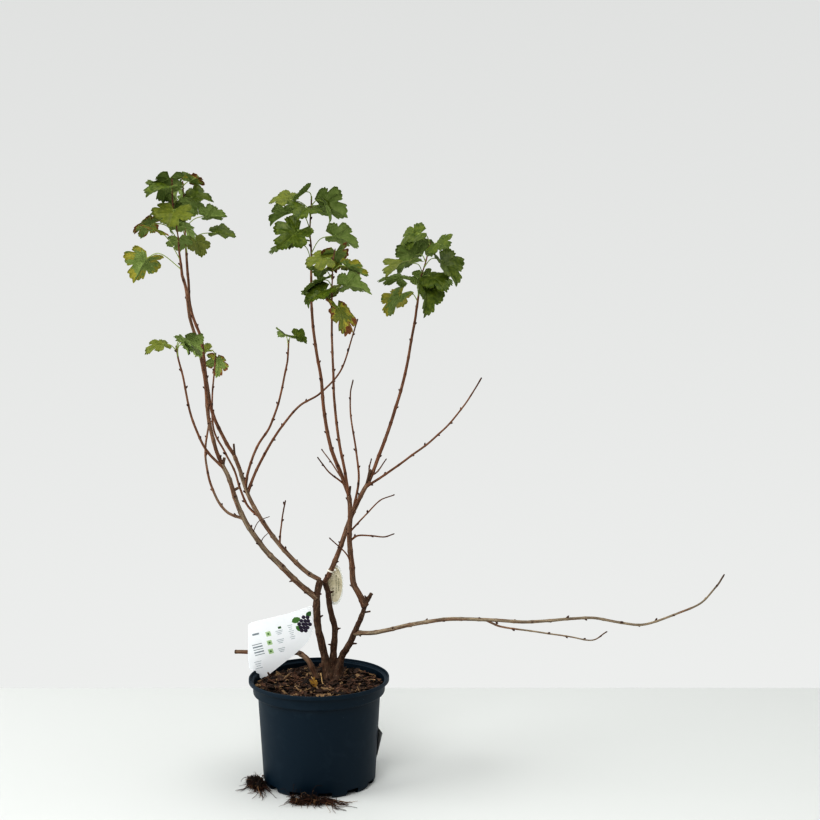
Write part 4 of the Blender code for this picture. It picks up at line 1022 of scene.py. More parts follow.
print("a blade has", len(VEIN_LINES), "main veins")

# %% [markdown]
# ## Blade, veins and stalk
# A blade is two skins 0.3 mm apart, joined round the edge, because a single sheet would have the
# same colour on both sides.  Its veins are thin tubes: raised on the lower face, nearly sunk on
# the upper.  The stalk thickens at its foot, where it clasps the shoot.

# %% Build one leaf
VEIN_STEPS, VEIN_REACH = 8, 0.93
VEIN_ABOVE, VEIN_BELOW = 0.22, 0.42   # radius at the stalk, in mm
STALK_RADIUS, STALK_FOOT, STALK_FOOT_REACH, STALK_NECK = 0.62, 0.75, 3.0, 0.25

leaves_left, leaves_right = Batch(), Batch()
veins, stalks = Batch(), Batch()


def put_leaf(batch, leaf, state, drift):
    """A blade of two skins with the tints of its state."""
    depth = 0.5 + 0.9 * noise.noise(Vector((drift, 1.3, 2.4)))
    edge = leaf_edge(SINUS + (DEEPEST_SINUS - SINUS) * min(max(depth, 0.0), 1.0))
    count = len(edge)
    points, faces, finishes = [], [], []
    half = BLADE_THICKNESS / 2
    for skin_side in (1, -1):
        base = len(points)
        points.append(leaf.spot(LEAF_HEART, 0, blade_lift(LEAF_HEART, 0.0, drift))
                      + leaf.normal * half * skin_side)
        for ring in range(1, RINGS + 1):
            t = ring / RINGS
            for edge_u, edge_v in edge:
                u, v = LEAF_HEART + (edge_u - LEAF_HEART) * t, edge_v * t
                points.append(leaf.spot(u, v, blade_lift(u, v, drift))
                              + leaf.normal * half * skin_side)
        for ring in range(RINGS):
            for k in range(count):
                nxt = (k + 1) % count
                t = (ring + 0.5) / RINGS
                u = LEAF_HEART + (edge[k][0] - LEAF_HEART) * t
                skin = skin_of(state, t, u, edge[k][1] * t, drift)
                if ring == 0:
                    face = (base, base + 1 + nxt, base + 1 + k)
                else:
                    low, high = base + 1 + (ring - 1) * count, base + 1 + ring * count
                    face = (low + k, low + nxt, high + nxt, high + k)
                faces.append(face if skin_side < 0 else tuple(reversed(face)))
                dull = skin_side < 0 and skin in (GREEN, PALE)
                finishes.append(UNDER if dull else skin)
    top = 1 + (RINGS - 1) * count
    under = top + 1 + RINGS * count
    for k in range(count):
        nxt = (k + 1) % count
        faces.append((top + k, top + nxt, under + nxt, under + k))
        finishes.append(finishes[(RINGS - 1) * count + k])
    batch.put(points, faces, finishes)


def put_veins(leaf, drift):
    """Five veins on each face of the blade, thicker on the lower one."""
    for angle, length in VEIN_LINES:
        for side, radius in ((1, VEIN_ABOVE), (-1, VEIN_BELOW)):
            line, radii = [], []
            for k in range(VEIN_STEPS + 1):
                reach = length * VEIN_REACH * k / VEIN_STEPS
                u, v = reach * math.cos(angle), reach * math.sin(angle)
                spot = leaf.spot(u, v, blade_lift(u, v, drift))
                line.append(spot + leaf.normal * side * BLADE_THICKNESS * 0.5)
                radii.append(radius * (1 - 0.75 * k / VEIN_STEPS))
            veins.put(*tube(line, radii, 4, closed_ends=False))


def put_stalk(leaf):
    end = leaf.junction + leaf.midrib * 2.0
    line = smooth_path([leaf.root, leaf.bend, leaf.junction, end], 2.5)
    total = length_of(line)
    radii, run = [], 0.0
    for i, spot in enumerate(line):
        if i:
            run += (spot - line[i - 1]).length
        radii.append(STALK_RADIUS + STALK_FOOT * math.exp(-run / STALK_FOOT_REACH)
                     + STALK_NECK * (run / total) ** 4)
    stalks.put(*tube(line, radii, 8))


print("stalks are", 2 * STALK_RADIUS, "mm thick")

# %% [markdown]
# ## Growing the leafy ends
# Each shoot carries on from the tip of its limb.  A leaf is put at each place that the rule
# gives, with a small new bud in the angle above its stalk, and the shoot ends in a bud.

# %% Grow every leafy end
INNER_ENDS = ("leaves_inner", "leaves_back")
LEAF_DRIFT = 5.37           # how far apart two leaves lie in the noise that bends them
ON_LEFT = [row[0] for row in LEAFY_ENDS if "left" in row[0] or row[0] in INNER_ENDS]
ON_RIGHT = [row[0] for row in LEAFY_ENDS if row[0] not in ON_LEFT]
number = 0
for name, parent, points, count, size, stalk, facing, spread, seed in LEAFY_ENDS:
    below, radius = limb_ends[parent]
    rough = [below[-1].copy()] + [Vector(p) for p in points]
    rule_start = below[-1] + (below[-1] - below[-2]).normalized() * 0.3
    rule_path = [rule_start] + [Vector(p) for p in points]
    grow_limb(name, smooth_path(rough, RING_STEP), radius, SHOOT_TIP_RADIUS, 0.0, 0.0, seed)
    limb_ends[name] = (rule_path, SHOOT_TIP_RADIUS)
    tip_along = (rough[-1] - rough[-2]).normalized()
    put_bud(rough[-1], tip_along, tip_along, 1.2)
    for i, leaf in enumerate(deal_leaves(rule_path, count, size, stalk, facing, spread, seed)):
        drift = number * LEAF_DRIFT
        put_leaf(leaves_left if name in ON_LEFT else leaves_right, leaf,
                 LEAF_STATES[name][i], drift)
        put_veins(leaf, drift)
        put_stalk(leaf)
        axil = (leaf.bend - leaf.root).normalized()
        put_bud(leaf.root + axil * 1.2 + UP * 1.2, UP, axil, 0.9)
        number += 1
print(number, "leaves")

# %% [markdown]
# ## Two dead threads of wood
# On the outer left bough two thin shoots died back and dried to dark threads.  They are plain
# thin tubes, which join the limbs' mesh and its bark.

# %% Dead threads, and the meshes of the bush
DEAD_THREADS = (
    # share of the bough, offsets in mm
    (0.54, ((1, -4, 8), (9, -6, 22), (25, -6, 29))),
    (0.47, ((4, -4, 10), (12, -5, 18))),
)
for share, offsets in DEAD_THREADS:
    start, _ = point_on(limb_paths["bough_left_outer"], share)
    line = smooth_path([start] + [start + Vector(offset) for offset in offsets], 1.5)
    put_wood(line, [0.75 - 0.25 * i / len(line) for i in range(len(line))], 7, (0.3, 0.3, 0.7))
wood.make("limbs", [bark, cut_wood], "bark", others)
buds.make("buds", [bud_scale], "bark")
leaves_left.make("leaves_of_left_boughs", leaf_finishes, "leaf", ON_LEFT)
leaves_right.make("leaves_of_right_boughs", leaf_finishes, "leaf", ON_RIGHT)
veins.make("leaf_veins", [vein_skin], "leaf")
stalks.make("leaf_stalks", [stalk_skin], "leaf")

# %% [markdown]
# ## The pot
# Such pots are blown or moulded from polypropylene, dyed dark blue-grey.  The wall tapers so
# that pots nest, a wide band and a thin stepped lip stiffen the rim, and notches round the foot
# let water out.  The plastic is satin, with a faint grain from the mould, specks and dried dust.
# The worn grain scatters part of the gloss, so the shader's specular level is lowered to match.

# %% Moulded polypropylene
POT_HEIGHT, POT_RIM, POT_BAND, POT_WALL, POT_FOOT = 165.0, 109.0, 103.0, 95.0, 87.0
LIP_HEIGHT, BAND_HEIGHT, SHEET, FLOOR_SHEET = 7.0, 18.5, 1.8, 2.5
LIP_WALL, LIP_SHELF = 2.5, 2.0
NOTCHES, NOTCH_WIDTH, NOTCH_HEIGHT, NOTCH_DEPTH, FIRST_NOTCH = 12, 21.0, 9.0, 13.0, -51.0
POT_STEPS = 180
POT_COLOUR, DRY_DUST = "#011e2d", "#5b6a74"
DUST, SPECKS, SPECK_PATCHES = 28.0, 150.0, 60.0   # per metre
MOULD_GRAIN = 900.0         # per metre, drawn coarser than real so that it shows
GRAIN_DEPTH = 0.0002        # m


def pot_plastic():
    made, tree, shader = surface("moulded polypropylene", POT_COLOUR, 0.5, 1.49,
                                 Specular_IOR_Level=0.31)
    place = add(tree, "ShaderNodeTexCoord").outputs["Object"]
    dust = add(tree, "ShaderNodeTexNoise", {"Vector": place, "Scale": DUST, "Detail": 8.0,
                                            "Roughness": 0.62, "Distortion": 0.6})
    dusty = add(tree, "ShaderNodeMapRange", {"Value": dust.outputs["Fac"], "From Min": 0.55,
                                             "From Max": 0.9, "To Max": 0.12})
    specks = add(tree, "ShaderNodeTexVoronoi", {"Vector": place, "Scale": SPECKS})
    speck = add(tree, "ShaderNodeMapRange", {"Value": specks.outputs["Distance"],
                                             "From Min": 0.10, "From Max": 0.05})
    sparse = add(tree, "ShaderNodeTexNoise", {"Vector": place, "Scale": SPECK_PATCHES})
    some = add(tree, "ShaderNodeMapRange", {"Value": sparse.outputs["Fac"], "From Min": 0.62,
                                            "From Max": 0.66})
    shown = add(tree, "ShaderNodeMath", {0: speck.outputs["Result"], 1: some.outputs["Result"]},
                operation="MULTIPLY")
    dirt = add(tree, "ShaderNodeMath", {0: dusty.outputs["Result"], 1: shown.outputs[0]},
               operation="MAXIMUM")
    mixed = add(tree, "ShaderNodeMix", {"Factor": dirt.outputs[0], 6: linear(POT_COLOUR),
                                        7: linear(DRY_DUST)}, data_type="RGBA")
    tree.links.new(mixed.outputs[2], shader.inputs["Base Color"])
    rough = add(tree, "ShaderNodeMapRange", {"Value": dust.outputs["Fac"], "To Min": 0.42,
                                             "To Max": 0.62})
    tree.links.new(rough.outputs["Result"], shader.inputs["Roughness"])
    grain = add(tree, "ShaderNodeTexNoise", {"Vector": place, "Scale": MOULD_GRAIN,
                                             "Detail": 2.0})
    bump = add(tree, "ShaderNodeBump", {"Height": grain.outputs["Fac"], "Strength": 0.15,
                                        "Distance": GRAIN_DEPTH})
    tree.links.new(bump.outputs["Normal"], shader.inputs["Normal"])
    return made


print("pot rim", 2 * POT_RIM, "mm across")

# %% [markdown]
# ## The pot's shape
# A pot is round, so one profile with rounded corners says all of it: up outside, over the lip,
# down inside and along the floor.  A Screw modifier could turn it, but a spin leaves a plain
# mesh at once, ready to be cut.

# %% Turn the profile


def rounded(corner, before, after, radius, steps=4):
    """Points that round a corner of the turned profile."""
    a = corner + (before - corner).normalized() * radius
    b = corner + (after - corner).normalized() * radius
    return [a.lerp(corner, k / steps).lerp(corner.lerp(b, k / steps), k / steps)
            for k in range(steps + 1)]


lip_foot = POT_HEIGHT - LIP_HEIGHT
band_foot = lip_foot - BAND_HEIGHT
corners = [((POT_FOOT - 4, 0), 1.0), ((POT_FOOT, 4), 2.0), ((POT_WALL, band_foot), 1.0),
           ((POT_BAND - 1, band_foot + 2), 2.0), ((POT_BAND, lip_foot), 0.8),
           ((POT_RIM, lip_foot + 1), 0.6), ((POT_RIM, POT_HEIGHT), 1.2),
           ((POT_RIM - LIP_WALL, POT_HEIGHT), 1.1),
           ((POT_RIM - LIP_WALL, lip_foot + 1 + LIP_SHELF), 1.2),
           ((POT_BAND - SHEET, lip_foot + LIP_SHELF), 1.0),
           ((POT_BAND - SHEET, band_foot + 2 * SHEET), 1.5),
           ((POT_WALL - SHEET, band_foot + SHEET), 1.0), ((POT_FOOT - SHEET, FLOOR_SHEET), 0.8)]
profile = [Vector((0.0, 0.0, 0.0))]
line = [Vector((r, 0, z)) for (r, z), _ in corners]
for i, (_, radius) in enumerate(corners):
    before = line[i - 1] if i else profile[0]
    after = line[i + 1] if i + 1 < len(line) else Vector((0, 0, FLOOR_SHEET))
    profile += rounded(line[i], before, after, radius)
profile.append(Vector((0, 0, FLOOR_SHEET)))
turned = bmesh.new()
ring = [turned.verts.new(p * MM) for p in profile]
edges = [turned.edges.new(pair) for pair in zip(ring, ring[1:])]
bmesh.ops.spin(turned, geom=ring + edges, cent=(0, 0, 0), axis=(0, 0, 1),
               angle=2 * math.pi, steps=POT_STEPS, use_merge=True)
bmesh.ops.remove_doubles(turned, verts=turned.verts, dist=0.00002)
bmesh.ops.recalc_face_normals(turned, faces=turned.faces)
pot_mesh = bpy.data.meshes.new("pot_skin")
turned.to_mesh(pot_mesh)
turned.free()
pot = bpy.data.objects.new("pot_skin", pot_mesh)
bpy.context.scene.collection.objects.link(pot)
print("pot turned with", len(pot_mesh.polygons), "faces")

# %% [markdown]
# ## Drain notches
# The notches open where the wall meets the floor, at even steps round the foot.  They are cut
# out with one Boolean, as a solid mould leaves them: square, through wall and floor alike.
# A Boolean may list the same faces in another order each time, so they are sorted after it.

# %% Cut the notches and finish the pot
SHARP_ANGLE = 35            # degrees from which an edge of the pot looks sharp


def in_order(mesh):
    """A copy with its points and faces in a fixed order, which a Boolean doesn't keep."""
    order = sorted(range(len(mesh.vertices)), key=lambda i: tuple(mesh.vertices[i].co))
    place = {old: new for new, old in enumerate(order)}
    faces = []
    for face in mesh.polygons:
        loop = [place[i] for i in face.vertices]
        first = loop.index(min(loop))
        faces.append(tuple(loop[first:] + loop[:first]))
    copy = bpy.data.meshes.new("pot_skin")
    copy.from_pydata([mesh.vertices[i].co for i in order], [], sorted(faces))
    return copy


notch = bmesh.new()
for k in range(NOTCHES):
    made = bmesh.ops.create_cube(notch, size=1.0)["verts"]
    turn = Matrix.Rotation(math.radians(FIRST_NOTCH + 360 / NOTCHES * k), 4, "Z")
    size = Matrix.Diagonal((2 * NOTCH_DEPTH * MM, NOTCH_WIDTH * MM, 2 * NOTCH_HEIGHT * MM, 1))
    bmesh.ops.transform(notch, verts=made, matrix=turn
                        @ Matrix.Translation((POT_FOOT * MM, 0, 0)) @ size)
notch_mesh = bpy.data.meshes.new("notches")
notch.to_mesh(notch_mesh)
notch.free()
cutter = bpy.data.objects.new("notches", notch_mesh)
bpy.context.scene.collection.objects.link(cutter)
cut = pot.modifiers.new("notches", "BOOLEAN")
cut.operation = "DIFFERENCE"
cut.object = cutter
graph = bpy.context.evaluated_depsgraph_get()
pot.data = in_order(bpy.data.meshes.new_from_object(pot.evaluated_get(graph)))
pot.modifiers.clear()
bpy.data.objects.remove(cutter, do_unlink=True)
pot.data.materials.append(pot_plastic())
pot.data.shade_smooth()
pot.data.set_sharp_from_angle(angle=math.radians(SHARP_ANGLE))
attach(pot, "root")
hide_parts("pot")
print("pot has", len(pot.data.polygons), "faces and", NOTCHES, "notches")

# %% [markdown]
# ## The mulch
# The top of the mix is covered with bark chips on dark compost.  The bed under them is a low
# rough mound, closed below so that it is solid like the mix it replaces.  Each chip's colour is
# broken up by the fibres of the bark, drawn a little coarser than real.

# %% Bark finishes and the bed
BED_RADIUS = 100.6
BED_EDGE, BED_TOP, BED_FLAT = 151.0, 157.0, 48.0
BED_FOOT = 147.0            # stays above the step inside the pot's band
BED_RINGS, BED_TURNS = 26, 120
CHIP_FIBRES = 420.0         # per metre
FIBRE_DEPTH = 0.0004        # m
DAMP, BROWN_BARK, DRY, COMPOST, PALE_ROOT, DEAD_LEAF = range(6)


def bark_chip(name, colour, roughness):
    made, tree, shader = surface(name, colour, roughness, 1.45)
    place = add(tree, "ShaderNodeTexCoord").outputs["Object"]
    fibre = add(tree, "ShaderNodeTexNoise", {"Vector": place, "Scale": CHIP_FIBRES,
                                              "Detail": 5.0})
    tone = add(tree, "ShaderNodeMapRange", {"Value": fibre.outputs["Fac"], "From Min": 0.3,
                                            "From Max": 0.7, "To Min": 0.5, "To Max": 1.35})
    shade = add(tree, "ShaderNodeVectorMath", {0: linear(colour)[:3],
                                               "Scale": tone.outputs["Result"]},
                operation="SCALE")
    tree.links.new(shade.outputs["Vector"], shader.inputs["Base Color"])
    bump = add(tree, "ShaderNodeBump", {"Height": fibre.outputs["Fac"], "Strength": 0.6,
                                        "Distance": FIBRE_DEPTH})
    tree.links.new(bump.outputs["Normal"], shader.inputs["Normal"])
    return made


chip_finishes = [bark_chip("damp pine bark", "#3d2b20", 0.8),
                 bark_chip("brown pine bark", "#5e4434", 0.85),
                 bark_chip("dry pine bark", "#8f7658", 0.9),
                 bark_chip("dark compost", "#1f1712", 0.95)]


def bed_height(x, y):
    reach = math.hypot(x, y)
    share = min(max((BED_RADIUS - reach) / (BED_RADIUS - BED_FLAT), 0.0), 1.0)
    lumps = 2.4 * noise.noise(Vector((x, y, 3)) * 0.06) + 1.4 * noise.noise(
        Vector((x, y, 9)) * 0.22)
    return BED_EDGE + (BED_TOP - BED_EDGE) * share + lumps


def on_circle(reach, k, steps):
    """Where step k of a circle lies."""
    turn = 2 * math.pi * k / steps
    return reach * math.cos(turn), reach * math.sin(turn)


mulch = Batch()
points, faces = [Vector((0, 0, bed_height(0, 0)))], []
for ring in range(1, BED_RINGS + 1):
    for k in range(BED_TURNS):
        x, y = on_circle(BED_RADIUS * ring / BED_RINGS, k, BED_TURNS)
        points.append(Vector((x, y, bed_height(x, y))))
points += [Vector((*on_circle(BED_RADIUS, k, BED_TURNS), BED_FOOT)) for k in range(BED_TURNS)]
for k in range(BED_TURNS):
    nxt = (k + 1) % BED_TURNS
    faces.append((0, 1 + k, 1 + nxt))
    for low in range(1, BED_RINGS * BED_TURNS, BED_TURNS):
        high = low + BED_TURNS
        faces.append((low + k, high + k, high + nxt, low + nxt))
faces.append(tuple(range(len(points) - 1, len(points) - 1 - BED_TURNS, -1)))
mulch.put(points, faces, COMPOST)
print("the bed has", len(faces), "faces")

# %% [markdown]
# ## Chips, strewn
# A bump pattern would look flat from the side, so chips are modelled: flat splinters with broken
# ends, strewn at random and tilted as they fell.  Most are dark and damp, and a few are tan or
# pale where they have dried.

# %% Strew the chips
CHIPS = 1500
CHIPS_REACH = 97            # mm from the axis
CHIP_SHARES = (46, 27, 11, 16)   # damp, brown, dry and compost, out of a hundred
LONG_CHIPS, LONGER = 0.26, 2.2   # this share of the chips is so much longer
CHIP_OUTLINE = ((-0.5, -0.3), (-0.2, -0.5), (0.3, -0.45), (0.5, -0.1), (0.35, 0.45),
                (-0.1, 0.5), (-0.45, 0.3))

strew = random.Random(20)
for _ in range(CHIPS):
    reach = CHIPS_REACH * math.sqrt(strew.random())
    turn = strew.uniform(0, 2 * math.pi)
    x, y = reach * math.cos(turn), reach * math.sin(turn)
    long = strew.uniform(4, 11) * (LONGER if strew.random() < LONG_CHIPS else 1.0)
    wide = min(long * strew.uniform(0.2, 0.6), 9.0)
    thick = strew.uniform(0.6, 2.2)
    if reach + long / 2 > BED_RADIUS:
        continue
    lay = Matrix.Translation((x, y, bed_height(x, y) + strew.uniform(0.2, 2.6)))
    lay @= Matrix.Rotation(strew.uniform(0, 2 * math.pi), 4, "Z")
    lay @= Matrix.Rotation(strew.gauss(0, 0.35), 4, "X")
    lay @= Matrix.Rotation(strew.gauss(0, 0.35), 4, "Y")
    outline = []
    for sx, sy in CHIP_OUTLINE:
        outline.append((sx * long * strew.uniform(0.8, 1.15), sy * wide * strew.uniform(0.7, 1.2)))
    points = [lay @ Vector((px, py, side * thick / 2 * strew.uniform(0.7, 1.1)))
              for side in (-1, 1) for px, py in outline]
    count = len(outline)
    faces = [tuple(range(count - 1, -1, -1)), tuple(range(count, 2 * count))]
    faces += [(k, (k + 1) % count, count + (k + 1) % count, count + k) for k in range(count)]
    finish = strew.choices((DAMP, BROWN_BARK, DRY, COMPOST), CHIP_SHARES)[0]
    mulch.put(points, faces, finish)
print("mulch has", len(mulch.faces), "faces so far")

# %% [markdown]
# ## What lies on the mulch
# Two pale dry roots run over the chips, and a dead yellow-brown leaf has fallen beside them.
# The roots are tubes, and the leaf is a narrow folded blade with the same outline as the rest.

# %% Pale roots and a dead leaf
PALE_ROOTS = (
    # points, radius at the start, radius at the end
    (((1, 26, 162), (4, 2, 160), (8, -26, 160), (20, -42, 158.5), (32, -48, 159)), 1.3, 0.5),
    (((-12, 2, 163), (-9, -10, 163.5), (-5, -20, 161)), 0.9, 0.5),
)
for line, thick, thin in PALE_ROOTS:
    path = smooth_path([Vector(p) for p in line], 2.5)
    spans = len(path) - 1
    mulch.put(*tube(path, [thick + (thin - thick) * i / spans for i in range(spans + 1)], 8),
              PALE_ROOT)
LITTER_RINGS = (0.0, 0.35, 0.7, 1.0)
LITTER_NARROW = 0.32
LEAF_LITTER = Leaf(Vector((-9, -22, 160)), Vector((-9, -24, 161)), Vector((-8, -26, 164)),
                   heading(-70, -10), Vector((0.85, 0.4, 0.3)), Vector((-0.2, -0.1, 0.95)),
                   24, 0.8, 0.3)
edge = leaf_edge(DEEPEST_SINUS)
points = []
for side in (1, -1):
    for t in LITTER_RINGS:
        for u, v in edge:
            u, v = LEAF_HEART + (u - LEAF_HEART) * t, v * t * LITTER_NARROW
            points.append(LEAF_LITTER.spot(u, v, 0.12 * noise.noise(Vector((u * 4, v * 6, 2))))
                          + LEAF_LITTER.normal * side * BLADE_THICKNESS / 2)
count, faces = len(edge), []
for k in range(count):
    nxt = (k + 1) % count
    for ring in range(3):
        low, high = ring * count, (ring + 1) * count
        faces.append((low + k, low + nxt, high + nxt, high + k))
        low, high = low + 4 * count, high + 4 * count
        faces.append((low + nxt, low + k, high + k, high + nxt))
    faces.append((3 * count + nxt, 3 * count + k, 7 * count + k, 7 * count + nxt))
mulch.put(points, faces, DEAD_LEAF)
mulch.make("bark_mulch", chip_finishes + [surface("pale dry root", "#b79a6c", 0.8)[0],
                                          leaf_skin("dead leaf", "#8f6f26", "#5f4420", 0.8)],
           "mix", ["potting_mix"], smooth=False)

# %% [markdown]
# ## The plant label
# A printed plastic sheet stands at the pot's edge, held by the stem and the sawn branch.  A
# picture on a plane would do from afar, but the sheet has a real edge that catches the light,
# so it is a thin slab with rounded corners, cut out round the pot's lip so that it stays clear.

# %% Label sheet
LABEL_CORNERS = ((-95.6, 153), (-96.2, 160.6), (-101.2, 161.6), (-101.6, 165.8), (-112, 166.6),
                 (-113.7, 192.6), (-111.2, 245), (-46, 263), (-9, 277), (-9.4, 238),
                 (-18, 216.5), (-37, 196.5), (-90, 151.5))
LABEL_THICKNESS = 0.6
LABEL_TURN, LABEL_LEAN = -0.083, -0.179
LABEL_ANCHOR = (-8, 0, 283)
LABEL_ROUNDING = 5.0
LABEL_FRONT = Vector((LABEL_TURN, -1, LABEL_LEAN)).normalized()


def label_spot(x, z):
    ax, ay, az = LABEL_ANCHOR
    return Vector((x, ay + (x - ax) * LABEL_TURN + (z - az) * LABEL_LEAN, z))


def rounded_outline(corners, radius, steps=5):
    flat = [Vector((x, z, 0)) for x, z in corners]
    outline = []
    for i, corner in enumerate(flat):
        after = flat[(i + 1) % len(flat)]
        reach = min(radius, (corner - flat[i - 1]).length * 0.45, (after - corner).length * 0.45)
        outline += [(p.x, p.y) for p in rounded(corner, flat[i - 1], after, reach, steps)]
    return outline


def slab(batch, outline, normal, top, bottom, finish=0):
    """A plate whose faces stand top and bottom mm off its outline, along the normal."""
    count = len(outline)
    faces = [tuple(range(count)), tuple(range(2 * count - 1, count - 1, -1))]
    faces += [(k, count + k, count + (k + 1) % count, (k + 1) % count) for k in range(count)]
    batch.put([p + normal * off for off in (top, bottom) for p in outline], faces, finish)


label = Batch()
slab(label, [label_spot(x, z) for x, z in rounded_outline(LABEL_CORNERS, LABEL_ROUNDING)],
     LABEL_FRONT, LABEL_THICKNESS / 2, -LABEL_THICKNESS / 2)
label.make("label_sheet", [surface("printed polypropylene sheet", "#fafdff", 0.3, 1.49)[0]],
           "label", ["plant_label"], smooth=False)

# %% [markdown]
# ## The label's print
# The print is generic and has no words: a bunch of dark berries with leaves, some pale green
# squares, and grey bars where lines of text would be.  A texture could carry it, but plates
# that stand less than a quarter of a millimetre proud stay sharp, and each has its own level.

# %% Ink on the label
INKS = ("#2b2136", "#46385a", "#4f7d3a", "#35622c", "#b9d3a4", "#b4bcc0", "#8d979c")
BERRY, SHINE, LEAF_INK, LEAF_DARK, SQUARE, BAR, BAR_DARK = range(7)
INK_PROUD, INK_SUNK = 0.06, 0.1
BERRY_ROWS = ((2, 257), (3, 251), (4, 245.5), (3, 240), (2, 235))   # berries, height
INK_LEAVES = ((-36, 252, 0.5, 15), (-31, 238, -0.6, 13), (-16, 262, 1.0, 12))
INK_LEAF_OUTLINE = ((0.5, 0), (0.3, 0.22), (0, 0.34), (-0.3, 0.24), (-0.5, 0), (-0.3, -0.24),
                    (0, -0.34), (0.3, -0.22))
ink = Batch()


def ink_shape(outline, finish, layer):
    slab(ink, [label_spot(x, z) for x, z in outline], LABEL_FRONT,
         LABEL_THICKNESS / 2 + INK_PROUD * (layer + 1), LABEL_THICKNESS / 2 - INK_SUNK, finish)


def disc(x, z, radius, steps=16):
    return [(x + across, z + up)
            for across, up in (on_circle(radius, k, steps) for k in range(steps))]


def block(x, z, width, height, tilt=0.29):
    """A rectangle that follows the label's slanting top edge."""
    along, up = Vector((1, tilt)).normalized(), Vector((-tilt, 1)).normalized()
    return [tuple(Vector((x, z)) + along * a * width / 2 + up * b * height / 2)
            for a, b in ((-1, -1), (1, -1), (1, 1), (-1, 1))]


for x, z, turn, long in INK_LEAVES:
    axis = Vector((math.cos(turn), math.sin(turn)))
    out = Vector((-axis.y, axis.x))
    blade = [tuple(Vector((x, z)) + axis * long * a + out * long * b)
             for a, b in INK_LEAF_OUTLINE]
    ink_shape(blade, LEAF_INK if x < -20 else LEAF_DARK, 0)
berries = random.Random(8)
for row, (count, z) in enumerate(BERRY_ROWS):
    for k in range(count):
        x = -21 + (k - (count - 1) / 2) * 5.4 + berries.uniform(-0.6, 0.6) - row * 0.8
        ink_shape(disc(x, z, 3.1), BERRY, 1 + (row + k) % 2)
        ink_shape(disc(x - 0.9, z + 1.0, 0.9, 10), SHINE, 3)
for row in range(3):
    x, z = -80 + row * 1.6, 228 - row * 14.5
    ink_shape(block(x, z, 7.8, 7.8), SQUARE, 0)
    ink_shape(block(x, z, 3.0, 3.0), LEAF_INK, 1)
    for line in range(3):
        ink_shape(block(x + 17 + line * 0.4, z + 5.6 - line * 2.6, 12 - 2.5 * line, 1.1), BAR, 0)
ink_shape(block(-62, 239, 5.0, 3.4), LEAF_DARK, 0)
for line in range(8):
    ink_shape(block(-46 + line * 0.7, 243 - line * 3.1, 8.5 - line % 3 * 2.0, 1.0), BAR, 0)
for line in range(4):
    ink_shape(block(-98 + line * 0.6, 181 - line * 3.6, 12.0 - line % 3 * 2.5, 0.9), BAR, 0)
for stripe in range(5):
    ink_shape(block(-98.5 + stripe * 1.1, 210 - stripe * 4.2, 16.0, 1.2 + stripe % 2 * 1.0),
              BAR_DARK, 0)
ink_shape(block(-100, 227, 11.0, 3.0), BAR_DARK, 0)
ink.make("label_print", [surface("printing ink " + str(i), code, 0.4)[0]
                         for i, code in enumerate(INKS)], "label", smooth=False)

# %% [markdown]
# ## The hang tag
# A coated card tag, faded to cream, hangs among the stems.  The card is an oval slab with a
# punched hole.  Its field has faded inside a margin that stayed white, so it is built as rings
# of faces: margin, field and hole.  What was written on it is left as a few faded strokes.

# %% Tag
TAG_TOP, TAG_FOOT = Vector((25, 11, 339)), Vector((24, 21, 273))
TAG_HALF_WIDTH, TAG_THICKNESS, TAG_HOLE_SHARE, TAG_HOLE = 13.0, 0.7, 0.13, 1.6
TAG_STEPS = 48
TAG_MARGIN = 0.87           # the faded field ends here, and the margin has stayed white
CARD, CARD_EDGE, TAG_INK = range(3)
STROKE_ROWS = ((2.0, -14, 16), (5.6, -10, 12), (-3.0, -19, -4))   # sideways, first, last

tag_middle = (TAG_TOP + TAG_FOOT) / 2
tall = (TAG_TOP - TAG_FOOT) / 2
wide = Vector((TAG_HALF_WIDTH, 0, 0))
wide -= tall.normalized() * wide.dot(tall.normalized())
tag_normal = tall.cross(wide).normalized()
tag_normal = tag_normal if tag_normal.y < 0 else -tag_normal
hole_middle = TAG_TOP.lerp(TAG_FOOT, TAG_HOLE_SHARE)
tag = Batch()
oval, field, hole = [], [], []
for k in range(TAG_STEPS):
    turn = 2 * math.pi * k / TAG_STEPS
    reach = tall * math.cos(turn) + wide * math.sin(turn)
    oval.append(tag_middle + reach)
    field.append(tag_middle + reach * TAG_MARGIN)
    hole.append(hole_middle + tall.normalized() * TAG_HOLE * math.cos(turn)
                + wide.normalized() * TAG_HOLE * math.sin(turn))
points = [p + tag_normal * side * TAG_THICKNESS / 2
          for side in (1, -1) for p in oval + field + hole]
faces, finishes = [], []
back = 3 * TAG_STEPS
for k in range(TAG_STEPS):
    nxt = (k + 1) % TAG_STEPS
    for ring, finish in ((0, CARD_EDGE), (TAG_STEPS, CARD)):
        a, b = ring + k, ring + nxt
        faces.append((a, b, b + TAG_STEPS, a + TAG_STEPS))
        faces.append((back + b, back + a, back + a + TAG_STEPS, back + b + TAG_STEPS))
        finishes += [finish, CARD_EDGE]
    faces.append((nxt, k, back + k, back + nxt))
    inner = 2 * TAG_STEPS
    faces.append((inner + k, inner + nxt, back + inner + nxt, back + inner + k))
    finishes += [CARD_EDGE, CARD_EDGE]
tag.put(points, faces, finishes)
strokes = random.Random(3)
for sideways, drop, last in STROKE_ROWS:
    while drop < last:
        long = strokes.uniform(1.6, 3.6)
        corners = [tag_middle + wide.normalized() * (sideways + w * 1.1)
                   + tall.normalized() * (drop + long / 2 + t * long / 2)
                   for w, t in ((-1, -1), (1, -1), (1, 1), (-1, 1))]
        slab(tag, corners, tag_normal, TAG_THICKNESS / 2 + INK_PROUD,
             TAG_THICKNESS / 2 - INK_SUNK, TAG_INK)
        drop += long + strokes.uniform(0.5, 1.2)


